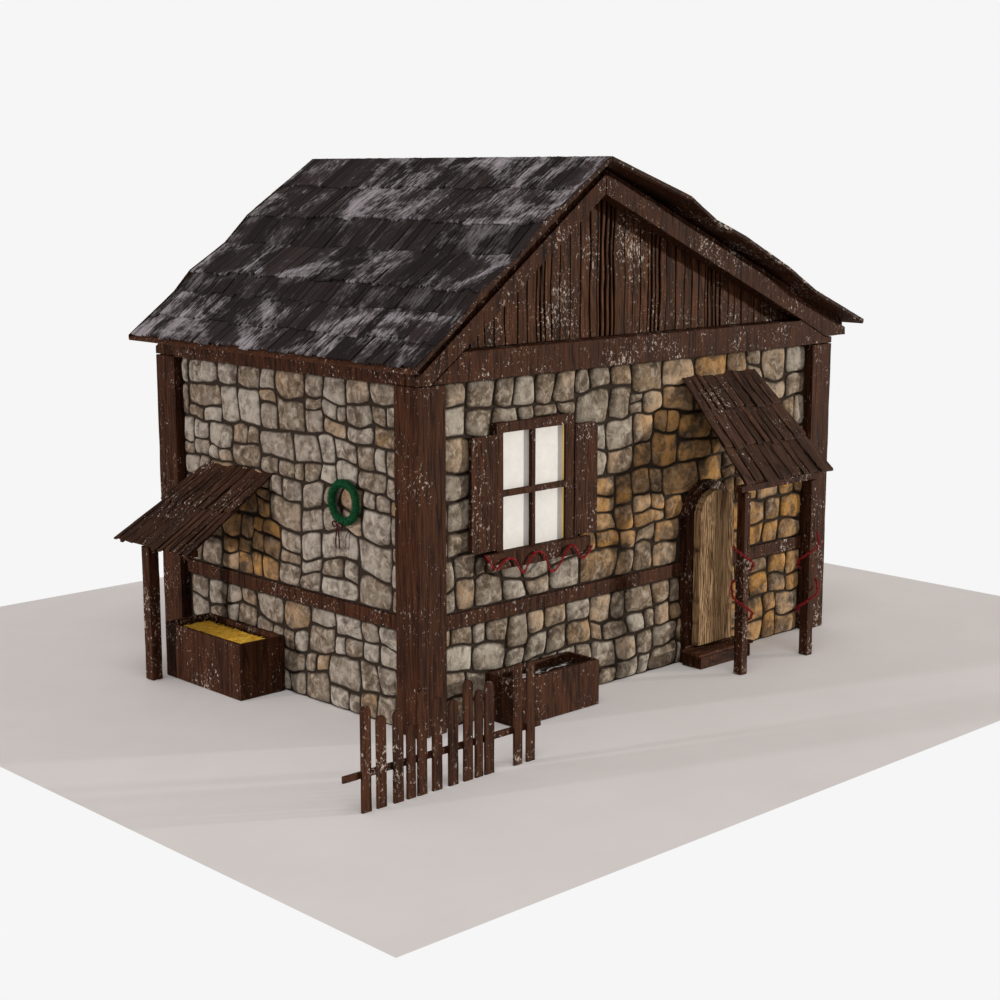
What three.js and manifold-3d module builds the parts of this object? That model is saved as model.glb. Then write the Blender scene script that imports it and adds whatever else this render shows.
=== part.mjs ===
// A small stone cottage with an exposed timber frame, a boarded gable, a lapped plank roof,
// a porch hood over the front door and a lean-to hood on the left side.
// Millimetres, +Z up. The front gable faces -Y. The origin is the centre of the footprint
// of the four corner posts, on the ground. The house group is measured from the outer corner
// of the front left post: X along the front wall, Y towards the back.
import * as THREE from 'three';
import { mergeVertices } from 'three/addons/utils/BufferGeometryUtils.js';
import Module from 'manifold-3d';

const wasm = await Module();
wasm.setup();

// ---- driving dimensions, measured from the outer corner of the front left post ----
const HOUSE_WIDTH = 7000;
const HOUSE_LENGTH = 4780;
const POST = 390;
const GAP = 0.3;
const FLOOR_TOP = 210;

const WALL_FACE = 130;
const POST_TOP = 3710;
const TIE_TOP = 4032;
const PLATE_BOTTOM = 3696;

const RAIL_BOTTOM = 1085;
const RAIL_TOP = 1249;
const RAIL_FACE = 88;

const RIDGE_X = 2646;
const RIDGE_TOP = 6027;
const ROOF_THICK = 70;
const ROOF_FRONT = -196;
const ROOF_BACK = HOUSE_LENGTH + 287;
const LEFT_SLOPE = 0.7376;
const RIGHT_SLOPE = 0.4238;
const LEFT_EAVE_X = -190;
const RIGHT_EAVE_X = 7406;

const RAFTER_DEPTH = 200;
const RAFTER_FILLET = 50;
const GABLE_APEX_X = 2761;
const GABLE_APEX_TOP = 5838;
const GABLE_APEX_BOTTOM = 5606;
const GABLE_BOARD = 40;
const GABLE_TUCK = 60;
const GABLE_TUCK_RIGHT = 100;
const GABLE_TUCK_TOP = 90;

const DOOR_CENTRE = 4676;
const DOOR_SPRING = 1795;
const DOOR_FRAME_RADIUS = 425;
const DOOR_OPENING_RADIUS = 285;
const DOOR_LEAF_RADIUS = 315;
const DOOR_LEAF_BOTTOM = 228;
const DOOR_LEAF_FRONT = -98;
const DOOR_LEAF_BACK = 12;
const DOOR_FRAME_FRONT = 22;
const THRESHOLD_TOP = 240;

const WINDOW_LEFT = 1144;
const WINDOW_RIGHT = 2330;
const WINDOW_BOTTOM = 1750;
const WINDOW_TOP = 3234;
const WINDOW_FRONT = 42;

// ---- materials ----
function paint(colour, roughness) {
  return new THREE.MeshStandardMaterial({ color: colour, roughness: roughness, metalness: 0 });
}
const stone = paint(0x8c8375, 0.95);
const flagstone = paint(0x6f685e, 0.95);
const frameTimber = paint(0x4a2a1c, 0.85);
const gableTimber = paint(0x5a3220, 0.85);
const roofTimber = paint(0x3a3132, 0.9);
const hoodTimber = paint(0x3c2620, 0.9);
const doorTimber = paint(0x8a6a45, 0.8);
const frostedGlass = paint(0xe9e6df, 0.4);
const straw = paint(0xb8912e, 0.95);
const soil = paint(0x2b211b, 0.95);
const evergreen = paint(0x1f5a2e, 0.9);
const redTinsel = paint(0x8a0f18, 0.6);

// ---- shape helpers ----
const cottage = new THREE.Group();
const house = new THREE.Group();
house.position.set(-HOUSE_WIDTH / 2, -HOUSE_LENGTH / 2, 0);
cottage.add(house);

function addPiece(name, geometry, material) {
  const mesh = new THREE.Mesh(geometry, material);
  mesh.name = name;
  house.add(mesh);
}

function blockGeometry(low, high) {
  const geometry = new THREE.BoxGeometry(high[0] - low[0], high[1] - low[1], high[2] - low[2]);
  geometry.translate((low[0] + high[0]) / 2, (low[1] + high[1]) / 2, (low[2] + high[2]) / 2);
  return geometry;
}

function shapeOf(corners) {
  return new THREE.Shape(corners.map(([a, b]) => new THREE.Vector2(a, b)));
}

// An upright outline in X and Z, from one Y to another.
function acrossFront(shape, yLow, yHigh) {
  const geometry = new THREE.ExtrudeGeometry(shape, {
    depth: yHigh - yLow, bevelEnabled: false, curveSegments: 14,
  });
  geometry.rotateX(Math.PI / 2);
  geometry.translate(0, yHigh, 0);
  return geometry;
}

// An upright outline in Y and Z, from one X to another.
function acrossSide(shape, xLow, xHigh) {
  const geometry = new THREE.ExtrudeGeometry(shape, {
    depth: xHigh - xLow, bevelEnabled: false, curveSegments: 14,
  });
  const turn = new THREE.Matrix4().makeBasis(
    new THREE.Vector3(0, 1, 0), new THREE.Vector3(0, 0, 1), new THREE.Vector3(1, 0, 0),
  );
  geometry.applyMatrix4(turn);
  geometry.translate(xLow, 0, 0);
  return geometry;
}

// A plan outline in X and Y, from one Z to another.
function plan(corners, zLow, zHigh) {
  const geometry = new THREE.ExtrudeGeometry(shapeOf(corners), {
    depth: zHigh - zLow, bevelEnabled: false,
  });
  geometry.translate(0, 0, zLow);
  return geometry;
}

function toSolid(geometry) {
  const bare = geometry.clone();
  bare.deleteAttribute('normal');
  bare.deleteAttribute('uv');
  const merged = mergeVertices(bare, 1e-3);
  return new wasm.Manifold(new wasm.Mesh({
    numProp: 3,
    vertProperties: new Float32Array(merged.attributes.position.array),
    triVerts: new Uint32Array(merged.index.array),
  }));
}

function toGeometry(solid) {
  const mesh = solid.getMesh();
  const geometry = new THREE.BufferGeometry();
  const positions = new Float32Array(mesh.vertProperties);
  geometry.setAttribute('position', new THREE.BufferAttribute(positions, 3));
  geometry.setIndex(new THREE.BufferAttribute(new Uint32Array(mesh.triVerts), 1));
  geometry.computeVertexNormals();
  return geometry;
}

function fuse(geometries) {
  return toGeometry(geometries.map(toSolid).reduce((sum, solid) => sum.add(solid)));
}

function cutFrom(body, tools) {
  return toGeometry(tools.map(toSolid).reduce((rest, tool) => rest.subtract(tool), toSolid(body)));
}

function tubeAlong(points, radius, sides, steps) {
  const section = new THREE.Shape();
  for (let side = 0; side < sides; side += 1) {
    const angle = (side / sides) * 2 * Math.PI;
    const spot = [radius * Math.cos(angle), radius * Math.sin(angle)];
    if (side === 0) section.moveTo(...spot);
    else section.lineTo(...spot);
  }
  const path = new THREE.CatmullRomCurve3(points.map((p) => new THREE.Vector3(...p)));
  return new THREE.ExtrudeGeometry(section, { steps: steps, bevelEnabled: false, extrudePath: path });
}

// ---- corner posts ----
const postSpots = {
  post_front_left: [0, 0],
  post_front_right: [HOUSE_WIDTH - POST, 0],
  post_back_left: [0, HOUSE_LENGTH - POST],
  post_back_right: [HOUSE_WIDTH - POST, HOUSE_LENGTH - POST],
};
for (const [name, [x, y]] of Object.entries(postSpots)) {
  addPiece(name, blockGeometry([x, y, 0], [x + POST, y + POST, POST_TOP - GAP]), frameTimber);
}

// ---- stone walls between the posts ----
const innerLeft = POST + GAP;
const innerRight = HOUSE_WIDTH - POST - GAP;
const innerFront = POST + GAP;
const innerBack = HOUSE_LENGTH - POST - GAP;
const wallTop = POST_TOP - GAP;
const sideWallTop = PLATE_BOTTOM - GAP;
const archRadius = DOOR_FRAME_RADIUS + GAP;
const doorLeft = DOOR_CENTRE - archRadius - GAP;
const doorRight = DOOR_CENTRE + archRadius + GAP;

const frontLeftWall = shapeOf([
  [innerLeft, 0], [doorLeft, 0], [doorLeft, wallTop], [innerLeft, wallTop],
]);
frontLeftWall.holes.push(shapeOf([
  [WINDOW_LEFT - GAP, WINDOW_BOTTOM - GAP], [WINDOW_RIGHT + GAP, WINDOW_BOTTOM - GAP],
  [WINDOW_RIGHT + GAP, WINDOW_TOP + GAP], [WINDOW_LEFT - GAP, WINDOW_TOP + GAP],
]));
addPiece('wall_front_left', acrossFront(frontLeftWall, WALL_FACE, POST), stone);

const overDoorWall = new THREE.Shape();
overDoorWall.moveTo(DOOR_CENTRE + archRadius, wallTop);
overDoorWall.lineTo(DOOR_CENTRE - archRadius, wallTop);
overDoorWall.absarc(DOOR_CENTRE, DOOR_SPRING, archRadius, Math.PI, 0, true);
addPiece('wall_over_door', acrossFront(overDoorWall, WALL_FACE, POST), stone);

addPiece('wall_front_right', blockGeometry(
  [doorRight, WALL_FACE, 0], [innerRight, POST, wallTop],
), stone);
addPiece('wall_left', blockGeometry(
  [WALL_FACE, innerFront, 0], [POST, innerBack, sideWallTop],
), stone);
addPiece('wall_right', blockGeometry(
  [HOUSE_WIDTH - POST, innerFront, 0], [HOUSE_WIDTH - WALL_FACE, innerBack, sideWallTop],
), stone);
addPiece('wall_back', blockGeometry(
  [innerLeft, HOUSE_LENGTH - POST, 0], [innerRight, HOUSE_LENGTH - WALL_FACE, wallTop],
), stone);

addPiece('floor', blockGeometry(
  [innerLeft, innerFront, 0], [innerRight, innerBack, FLOOR_TOP],
), flagstone);

// ---- middle rails on the wall faces ----
const railBack = WALL_FACE - GAP;
const railSpans = {
  rail_front_left: [[innerLeft, RAIL_FACE], [doorLeft, railBack]],
  rail_front_right: [[doorRight, RAIL_FACE], [innerRight, railBack]],
  rail_left: [[RAIL_FACE, innerFront], [railBack, innerBack]],
  rail_right: [[HOUSE_WIDTH - railBack, innerFront], [HOUSE_WIDTH - RAIL_FACE, innerBack]],
  rail_back: [[innerLeft, HOUSE_LENGTH - railBack], [innerRight, HOUSE_LENGTH - RAIL_FACE]],
};
for (const [name, [low, high]] of Object.entries(railSpans)) {
  addPiece(name, blockGeometry([...low, RAIL_BOTTOM], [...high, RAIL_TOP]), frameTimber);
}

// ---- gable timbers ----
const TIE_LEFT = 186;
const TIE_INNER_LEFT = 644;
const TIE_INNER_RIGHT = 6367;
const RAFTER_FOOT_RIGHT = 7287;
const RAFTER_SOFFIT_RIGHT = 3797;
const RAFTER_NECK_RIGHT = 6871;
const RAFTER_TOP_LEFT = 3804;
const RAFTER_TOP_RIGHT = 3896;
const FILLET_OVERLAP = 40;
const ROOF_CLEARANCE = 2;
const JOINT_GAP = 1;

// The height just under the roof slab, above a given X.
function underRoof(x) {
  const slope = x < RIDGE_X ? LEFT_SLOPE : RIGHT_SLOPE;
  return RIDGE_TOP - ROOF_THICK - slope * Math.abs(x - RIDGE_X) - ROOF_CLEARANCE;
}

const tieOutline = [
  [TIE_LEFT + GAP, POST_TOP], [HOUSE_WIDTH, POST_TOP], [HOUSE_WIDTH, RAFTER_SOFFIT_RIGHT - GAP],
  [RAFTER_NECK_RIGHT, RAFTER_SOFFIT_RIGHT - GAP], [TIE_INNER_RIGHT, TIE_TOP - GAP],
  [TIE_INNER_LEFT, TIE_TOP - GAP],
];
const leftRafter = [
  [0, POST_TOP], [TIE_LEFT, POST_TOP], [TIE_INNER_LEFT - JOINT_GAP, TIE_TOP],
  [GABLE_APEX_X - GAP, GABLE_APEX_BOTTOM], [GABLE_APEX_X - GAP, GABLE_APEX_TOP], [0, RAFTER_TOP_LEFT],
];
const leftFillet = [
  [0, RAFTER_TOP_LEFT - FILLET_OVERLAP], [GABLE_APEX_X - GAP, GABLE_APEX_TOP - FILLET_OVERLAP],
  [GABLE_APEX_X - GAP, underRoof(GABLE_APEX_X)], [RIDGE_X, underRoof(RIDGE_X)], [0, underRoof(0)],
];
const rightRafter = [
  [GABLE_APEX_X, GABLE_APEX_BOTTOM], [TIE_INNER_RIGHT + JOINT_GAP, TIE_TOP],
  [RAFTER_NECK_RIGHT + JOINT_GAP, RAFTER_SOFFIT_RIGHT], [RAFTER_FOOT_RIGHT, RAFTER_SOFFIT_RIGHT],
  [RAFTER_FOOT_RIGHT, RAFTER_TOP_RIGHT], [GABLE_APEX_X, GABLE_APEX_TOP],
];
const rightFillet = [
  [GABLE_APEX_X, GABLE_APEX_TOP - FILLET_OVERLAP],
  [RAFTER_FOOT_RIGHT, RAFTER_TOP_RIGHT - FILLET_OVERLAP],
  [RAFTER_FOOT_RIGHT, underRoof(RAFTER_FOOT_RIGHT)], [GABLE_APEX_X, underRoof(GABLE_APEX_X)],
];
const gablePanel = [
  [TIE_INNER_LEFT - GABLE_TUCK, TIE_TOP], [TIE_INNER_RIGHT + GABLE_TUCK_RIGHT, TIE_TOP],
  [GABLE_APEX_X, GABLE_APEX_BOTTOM + GABLE_TUCK_TOP],
];

function addGable(end, outerFace, inward) {
  const span = (near, far) => {
    const faces = [outerFace + inward * near, outerFace + inward * far];
    return [Math.min(...faces), Math.max(...faces)];
  };
  const rafter = (board, fillet) => fuse([
    acrossFront(shapeOf(board), ...span(0, RAFTER_DEPTH)),
    acrossFront(shapeOf(fillet), ...span(RAFTER_FILLET, RAFTER_DEPTH)),
  ]);
  addPiece(`tie_beam_${end}`, acrossFront(shapeOf(tieOutline), ...span(0, POST)), frameTimber);
  addPiece(`rafter_${end}_left`, rafter(leftRafter, leftFillet), frameTimber);
  addPiece(`rafter_${end}_right`, rafter(rightRafter, rightFillet), frameTimber);
  const panelSpan = span(RAFTER_DEPTH + GAP, RAFTER_DEPTH + GAP + GABLE_BOARD);
  addPiece(`gable_boards_${end}`, acrossFront(shapeOf(gablePanel), ...panelSpan), gableTimber);
}
addGable('front', 0, 1);
addGable('back', HOUSE_LENGTH, -1);

// ---- wall plates under the eaves ----
const PLATE_BEVEL = 40;
const leftPlate = [
  [0, PLATE_BOTTOM], [POST, PLATE_BOTTOM], [POST, TIE_TOP], [PLATE_BEVEL, TIE_TOP], [0, underRoof(0)],
];
const rightPlate = [
  [HOUSE_WIDTH - POST, PLATE_BOTTOM], [HOUSE_WIDTH, PLATE_BOTTOM],
  [HOUSE_WIDTH, underRoof(HOUSE_WIDTH)], [HOUSE_WIDTH - POST, underRoof(HOUSE_WIDTH)],
];
// Each plate runs on past its wall, beside the tie beams, as far as the rafters.
const leftPlateEnd = [
  [0, POST_TOP], [TIE_LEFT - GAP, POST_TOP], [TIE_LEFT - GAP, TIE_TOP], [PLATE_BEVEL, TIE_TOP],
  [0, underRoof(0)],
];
const rightPlateEnd = [
  [RAFTER_NECK_RIGHT + JOINT_GAP, RAFTER_SOFFIT_RIGHT], [HOUSE_WIDTH, RAFTER_SOFFIT_RIGHT],
  [HOUSE_WIDTH, underRoof(HOUSE_WIDTH)],
  [RAFTER_NECK_RIGHT + JOINT_GAP, underRoof(RAFTER_NECK_RIGHT + JOINT_GAP)],
];
const plateFront = RAFTER_DEPTH + GAP;
const plateBack = HOUSE_LENGTH - RAFTER_DEPTH - GAP;
function plate(profile, endProfile) {
  return fuse([
    acrossFront(shapeOf(profile), innerFront, innerBack),
    acrossFront(shapeOf(endProfile), plateFront, innerFront + JOINT_GAP),
    acrossFront(shapeOf(endProfile), innerBack - JOINT_GAP, plateBack),
  ]);
}
addPiece('plate_left', plate(leftPlate, leftPlateEnd), frameTimber);
addPiece('plate_right', plate(rightPlate, rightPlateEnd), frameTimber);

// ---- roof slopes: each slab's top swells and dips, so that its tiers of planks lap ----
// Each spot is [distance out from the ridge, height above the plain slope].
const LEFT_SWELL = [[1050, 85], [1400, 8], [1930, 75], [2170, 4]];
const RIGHT_SWELL = [[1330, 126], [1790, 45], [2320, 78], [3200, 47], [3730, -22]];
function roofOutline(slope, direction, eaveX, swell) {
  const topAt = (out) => RIDGE_TOP - slope * out;
  const start = RIDGE_X + direction * GAP;
  const span = Math.abs(eaveX - RIDGE_X);
  return [
    [start, RIDGE_TOP],
    ...swell.map(([out, lift]) => [RIDGE_X + direction * out, topAt(out) + lift]),
    [eaveX, topAt(span)],
    [eaveX, topAt(span) - ROOF_THICK],
    [start, RIDGE_TOP - ROOF_THICK],
  ];
}
const leftOutline = roofOutline(LEFT_SLOPE, -1, LEFT_EAVE_X, LEFT_SWELL);
const rightOutline = roofOutline(RIGHT_SLOPE, 1, RIGHT_EAVE_X, RIGHT_SWELL);
addPiece('roof_left', acrossFront(shapeOf(leftOutline), ROOF_FRONT, ROOF_BACK), roofTimber);
addPiece('roof_right', acrossFront(shapeOf(rightOutline), ROOF_FRONT, ROOF_BACK), roofTimber);

// ---- window ----
const JAMB = 101;
const PANE_LEFT = WINDOW_LEFT + JAMB;
const PANE_RIGHT = 2194;
const PANE_BOTTOM = 1840;
const PANE_TOP = 3119;
const MULLION = [1669, 1729];
const TRANSOM = [2426, 2498];
const panes = [];
for (const [x0, x1] of [[PANE_LEFT, MULLION[0]], [MULLION[1], PANE_RIGHT]]) {
  for (const [z0, z1] of [[PANE_BOTTOM, TRANSOM[0]], [TRANSOM[1], PANE_TOP]]) {
    panes.push(blockGeometry([x0, 0, z0], [x1, POST, z1]));
  }
}
const GLASS_FRONT = 96;
const GLASS_THICK = 12;
const CASING = 60;
const windowBlock = blockGeometry(
  [WINDOW_LEFT, WINDOW_FRONT, WINDOW_BOTTOM], [WINDOW_RIGHT, POST, WINDOW_TOP],
);
const windowRecess = blockGeometry(
  [WINDOW_LEFT + CASING, GLASS_FRONT, WINDOW_BOTTOM + CASING],
  [WINDOW_RIGHT - CASING, 2 * POST, WINDOW_TOP - CASING],
);
addPiece('window_frame', cutFrom(windowBlock, [...panes, windowRecess]), frameTimber);
addPiece('window_glass', blockGeometry(
  [WINDOW_LEFT + CASING + GAP, GLASS_FRONT + GAP, WINDOW_BOTTOM + CASING + GAP],
  [WINDOW_RIGHT - CASING - GAP, GLASS_FRONT + GAP + GLASS_THICK, WINDOW_TOP - CASING - GAP],
), frostedGlass);

// ---- shutters, rounded at their outer corners ----
const SHUTTER_BOTTOM = 1860;
const SHUTTER_TOP = 3116;
const SHUTTER_FRONT = 30;
const SHUTTER_BACK = 82;
const SHUTTER_CORNER = 70;
const SHUTTER_GAP = 3;
const SHUTTER_OUTER_LEFT = 767;
const SHUTTER_OUTER_RIGHT = 2700;
function shutterShape(inner, outer) {
  const side = Math.sign(outer - inner);
  const shape = new THREE.Shape();
  shape.moveTo(inner, SHUTTER_BOTTOM);
  shape.lineTo(outer - side * SHUTTER_CORNER, SHUTTER_BOTTOM);
  shape.quadraticCurveTo(outer, SHUTTER_BOTTOM, outer, SHUTTER_BOTTOM + SHUTTER_CORNER);
  shape.lineTo(outer, SHUTTER_TOP - SHUTTER_CORNER);
  shape.quadraticCurveTo(outer, SHUTTER_TOP, outer - side * SHUTTER_CORNER, SHUTTER_TOP);
  shape.lineTo(inner, SHUTTER_TOP);
  return shape;
}
const shutterSpans = {
  shutter_left: [WINDOW_LEFT - SHUTTER_GAP, SHUTTER_OUTER_LEFT],
  shutter_right: [WINDOW_RIGHT + SHUTTER_GAP, SHUTTER_OUTER_RIGHT],
};
for (const [name, span] of Object.entries(shutterSpans)) {
  addPiece(name, acrossFront(shutterShape(...span), SHUTTER_FRONT, SHUTTER_BACK), frameTimber);
}

const BOX_LOW = [940, -40, 1655];
const BOX_HIGH = [2530, WINDOW_FRONT - GAP, 1845];
addPiece('window_box', blockGeometry(BOX_LOW, BOX_HIGH), frameTimber);

// ---- door frame, leaf and step ----
function archShape(radius, bottom) {
  const shape = new THREE.Shape();
  shape.moveTo(DOOR_CENTRE - radius, bottom);
  shape.lineTo(DOOR_CENTRE + radius, bottom);
  shape.lineTo(DOOR_CENTRE + radius, DOOR_SPRING);
  shape.absarc(DOOR_CENTRE, DOOR_SPRING, radius, 0, Math.PI, false);
  return shape;
}
const doorFrame = archShape(DOOR_FRAME_RADIUS, 0);
doorFrame.holes.push(archShape(DOOR_OPENING_RADIUS, THRESHOLD_TOP));
addPiece('door_frame', acrossFront(doorFrame, DOOR_FRAME_FRONT, POST), frameTimber);
addPiece('door_leaf', acrossFront(
  archShape(DOOR_LEAF_RADIUS, DOOR_LEAF_BOTTOM), DOOR_LEAF_FRONT, DOOR_LEAF_BACK,
), doorTimber);
const STEP_LOW = [4150, -300, 0];
const STEP_HIGH = [5190, DOOR_FRAME_FRONT - GAP, 200];
addPiece('door_step', blockGeometry(STEP_LOW, STEP_HIGH), frameTimber);

// ---- hoods: a stepped slab cut to a spreading plan ----
const HOOD_THICK = 40;
const HOOD_ROOT_THICK = 64;
const HOOD_STEP = 30;
const HOOD_DROP = 8;
const HOOD_REACH = 100;
function hoodProfile(top, eave, laps) {
  const slope = (top[1] - eave[1]) / (eave[0] - top[0]);
  const heightAt = (out) => top[1] - slope * (out - top[0]);
  const corners = [top];
  for (const lap of laps) {
    corners.push([lap, heightAt(lap) + HOOD_STEP]);
    corners.push([lap + HOOD_DROP, heightAt(lap + HOOD_DROP)]);
  }
  corners.push([eave[0], eave[1] + HOOD_STEP]);
  corners.push([eave[0], eave[1] - HOOD_THICK]);
  corners.push([top[0], top[1] - HOOD_ROOT_THICK]);
  return corners;
}

const hoodRoot = -WALL_FACE + 2;
const PORCH_TOP = 3556;
const PORCH_EAVE = [840, 2268];
const PORCH_LAPS = [252, 560];
const PORCH_WALL_SPAN = [4186, 5572];
const PORCH_EAVE_SPAN = [4284, 5978];
const porchProfile = hoodProfile([hoodRoot, PORCH_TOP], PORCH_EAVE, PORCH_LAPS)
  .map(([out, height]) => [-out, height]);
const porchPlan = [
  [PORCH_WALL_SPAN[0], WALL_FACE], [PORCH_WALL_SPAN[1], WALL_FACE],
  [PORCH_EAVE_SPAN[1], -PORCH_EAVE[0] - 1], [PORCH_EAVE_SPAN[0], -PORCH_EAVE[0] - 1],
];
const porchSlab = acrossSide(
  shapeOf(porchProfile), PORCH_WALL_SPAN[0] - HOOD_REACH, PORCH_EAVE_SPAN[1] + HOOD_REACH,
);
const porchCutter = plan(porchPlan, PORCH_EAVE[1] - HOOD_REACH, PORCH_TOP + HOOD_REACH);
addPiece('porch_roof', toGeometry(toSolid(porchSlab).intersect(toSolid(porchCutter))), hoodTimber);
const porchPosts = { porch_post_left: 4348, porch_post_right: 5622 };
const PORCH_POST = [118, 130];
const PORCH_POST_Y = -770;
const PORCH_POST_TOP = 2190;
for (const [name, x] of Object.entries(porchPosts)) {
  addPiece(name, blockGeometry(
    [x, PORCH_POST_Y, 0], [x + PORCH_POST[0], PORCH_POST_Y + PORCH_POST[1], PORCH_POST_TOP - GAP],
  ), frameTimber);
}
const BEAM_DEPTH = 90;
addPiece('porch_beam', blockGeometry(
  [4300, -755, PORCH_POST_TOP], [5800, -655, PORCH_POST_TOP + BEAM_DEPTH],
), frameTimber);

const SIDE_TOP = 2562;
const SIDE_EAVE = [938, 1624];
const SIDE_LAPS = [430];
const SIDE_WALL_SPAN = [2607, 3892];
const SIDE_EAVE_SPAN = [2870, 4368];
const sideProfile = hoodProfile([hoodRoot, SIDE_TOP], SIDE_EAVE, SIDE_LAPS)
  .map(([out, height]) => [-out, height]);
const sidePlan = [
  [WALL_FACE, SIDE_WALL_SPAN[0]], [WALL_FACE, SIDE_WALL_SPAN[1]],
  [-SIDE_EAVE[0] - 1, SIDE_EAVE_SPAN[1]], [-SIDE_EAVE[0] - 1, SIDE_EAVE_SPAN[0]],
];
const sideSlab = acrossFront(
  shapeOf(sideProfile), SIDE_WALL_SPAN[0] - HOOD_REACH, SIDE_EAVE_SPAN[1] + HOOD_REACH,
);
const sideCutter = plan(sidePlan, SIDE_EAVE[1] - HOOD_REACH, SIDE_TOP + HOOD_REACH);
addPiece('side_hood', toGeometry(toSolid(sideSlab).intersect(toSolid(sideCutter))), hoodTimber);
const SIDE_POST_TOP = 1600;
addPiece('side_post', blockGeometry([-800, 3826, 0], [-650, 3986, SIDE_POST_TOP - GAP]), frameTimber);
addPiece('side_beam', blockGeometry(
  [-790, 2960, SIDE_POST_TOP], [-690, 4280, SIDE_POST_TOP + BEAM_DEPTH],
), frameTimber);

// ---- troughs ----
const PLANK = 50;
function trough(low, high) {
  const inside = blockGeometry(
    low.map((edge) => edge + PLANK), [high[0] - PLANK, high[1] - PLANK, high[2] + PLANK],
  );
  return cutFrom(blockGeometry(low, high), [inside]);
}
function filling(low, high, top) {
  const clear = PLANK + GAP;
  return blockGeometry(low.map((edge) => edge + clear), [high[0] - clear, high[1] - clear, top]);
}
const TROUGH_BACK = WALL_FACE - 35;
const STRAW_TOP = 590;
const SOIL_TOP = 440;
const sideTrough = [[-532, 2450, 0], [TROUGH_BACK, 3948, 658]];
const frontTrough = [[1008, -392, 0], [2310, TROUGH_BACK, 525]];
addPiece('side_trough', trough(...sideTrough), frameTimber);
addPiece('side_trough_straw', filling(...sideTrough, STRAW_TOP), straw);
addPiece('front_trough', trough(...frontTrough), frameTimber);
addPiece('front_trough_soil', filling(...frontTrough, SOIL_TOP), soil);

// ---- wreath and garlands ----
const WREATH_RADIUS = 210;
const WREATH_TUBE = 58;
const WREATH_CENTRE = [38, 1265, 2359];
const wreath = new THREE.TorusGeometry(WREATH_RADIUS, WREATH_TUBE, 12, 36);
wreath.rotateY(Math.PI / 2);
wreath.translate(...WREATH_CENTRE);
addPiece('wreath', wreath, evergreen);

const GARLAND_Y = -62;
const GARLAND_RADIUS = 11;
const GARLAND_SIDES = 8;
const windowRoute = [
  [880, 1855], [950, 1768], [1033, 1691], [1110, 1735], [1205, 1773], [1300, 1755],
  [1375, 1655], [1441, 1590], [1510, 1670], [1578, 1758], [1655, 1788], [1765, 1740],
  [1820, 1620], [1880, 1535], [2004, 1600], [2080, 1700], [2150, 1768], [2220, 1775],
  [2285, 1690], [2340, 1620], [2400, 1625], [2455, 1660], [2520, 1730],
].map(([x, z]) => [x, GARLAND_Y, z]);
addPiece('window_garland', tubeAlong(windowRoute, GARLAND_RADIUS, GARLAND_SIDES, 66), redTinsel);

const TURN_STEPS = 16;
const WINDING_TURNS = 1.75;
const WINDING_TOP = 1560;
const WINDING_BOTTOM = 520;
const WINDING_RADIUS = 108;
const WINDING_SPREAD = 34;
function postGarland(postX, hand, startAngle) {
  const centre = [postX + PORCH_POST[0] / 2, PORCH_POST_Y + PORCH_POST[1] / 2];
  const points = [];
  const count = Math.round(WINDING_TURNS * TURN_STEPS);
  for (let step = 0; step <= count; step += 1) {
    const share = step / count;
    const angle = startAngle + hand * 2 * Math.PI * WINDING_TURNS * share;
    const radius = WINDING_RADIUS + WINDING_SPREAD * Math.abs(Math.cos(2 * angle));
    points.push([
      centre[0] + radius * Math.cos(angle), centre[1] + radius * Math.sin(angle),
      WINDING_TOP + (WINDING_BOTTOM - WINDING_TOP) * share,
    ]);
  }
  return tubeAlong(points, GARLAND_RADIUS, GARLAND_SIDES, 56);
}
const leftWinding = postGarland(porchPosts.porch_post_left, 1, Math.PI * 0.9);
const rightWinding = postGarland(porchPosts.porch_post_right, -1, Math.PI * 0.1);
addPiece('porch_garland_left', leftWinding, redTinsel);
addPiece('porch_garland_right', rightWinding, redTinsel);

// ---- picket fence standing in front of the near corner ----
const FENCE_Y = -1260;
const PICKET_THICK = 30;
const FENCE_RAIL_SPAN = [-2010, 550];
const FENCE_RAIL_HEIGHT = [330, 400];
// Left edge, right edge and height of each picket.
const pickets = [
  [-1813, -1695, 1029], [-1629, -1512, 899], [-1424, -1302, 909], [-1259, -1151, 744],
  [-1124, -1008, 1042], [-936, -812, 931], [-728, -606, 862], [-533, -412, 1021],
  [-379, -276, 892], [-252, -126, 951], [146, 262, 1053], [323, 440, 1044],
];
function picket([left, right, top]) {
  const radius = (right - left) / 2;
  const shape = new THREE.Shape();
  shape.moveTo(left, 0);
  shape.lineTo(right, 0);
  shape.lineTo(right, top - radius);
  shape.absarc(left + radius, top - radius, radius, 0, Math.PI, false);
  return acrossFront(shape, FENCE_Y, FENCE_Y + PICKET_THICK);
}
const fenceRail = blockGeometry(
  [FENCE_RAIL_SPAN[0], FENCE_Y + PICKET_THICK - 2, FENCE_RAIL_HEIGHT[0]],
  [FENCE_RAIL_SPAN[1], FENCE_Y + 2 * PICKET_THICK, FENCE_RAIL_HEIGHT[1]],
);
addPiece('picket_fence', fuse([fenceRail, ...pickets.map(picket)]), frameTimber);

export default cottage;
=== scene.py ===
"""A small stone cottage with a dark timber frame, a frosted plank roof and two boarded hoods.

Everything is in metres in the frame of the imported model: the gable with the door faces -Y,
+X runs along the front wall towards the door, and the ground is at Z = 0.
"""
import math
import random

import bmesh
import bpy
from mathutils import Matrix, Vector, noise


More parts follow.
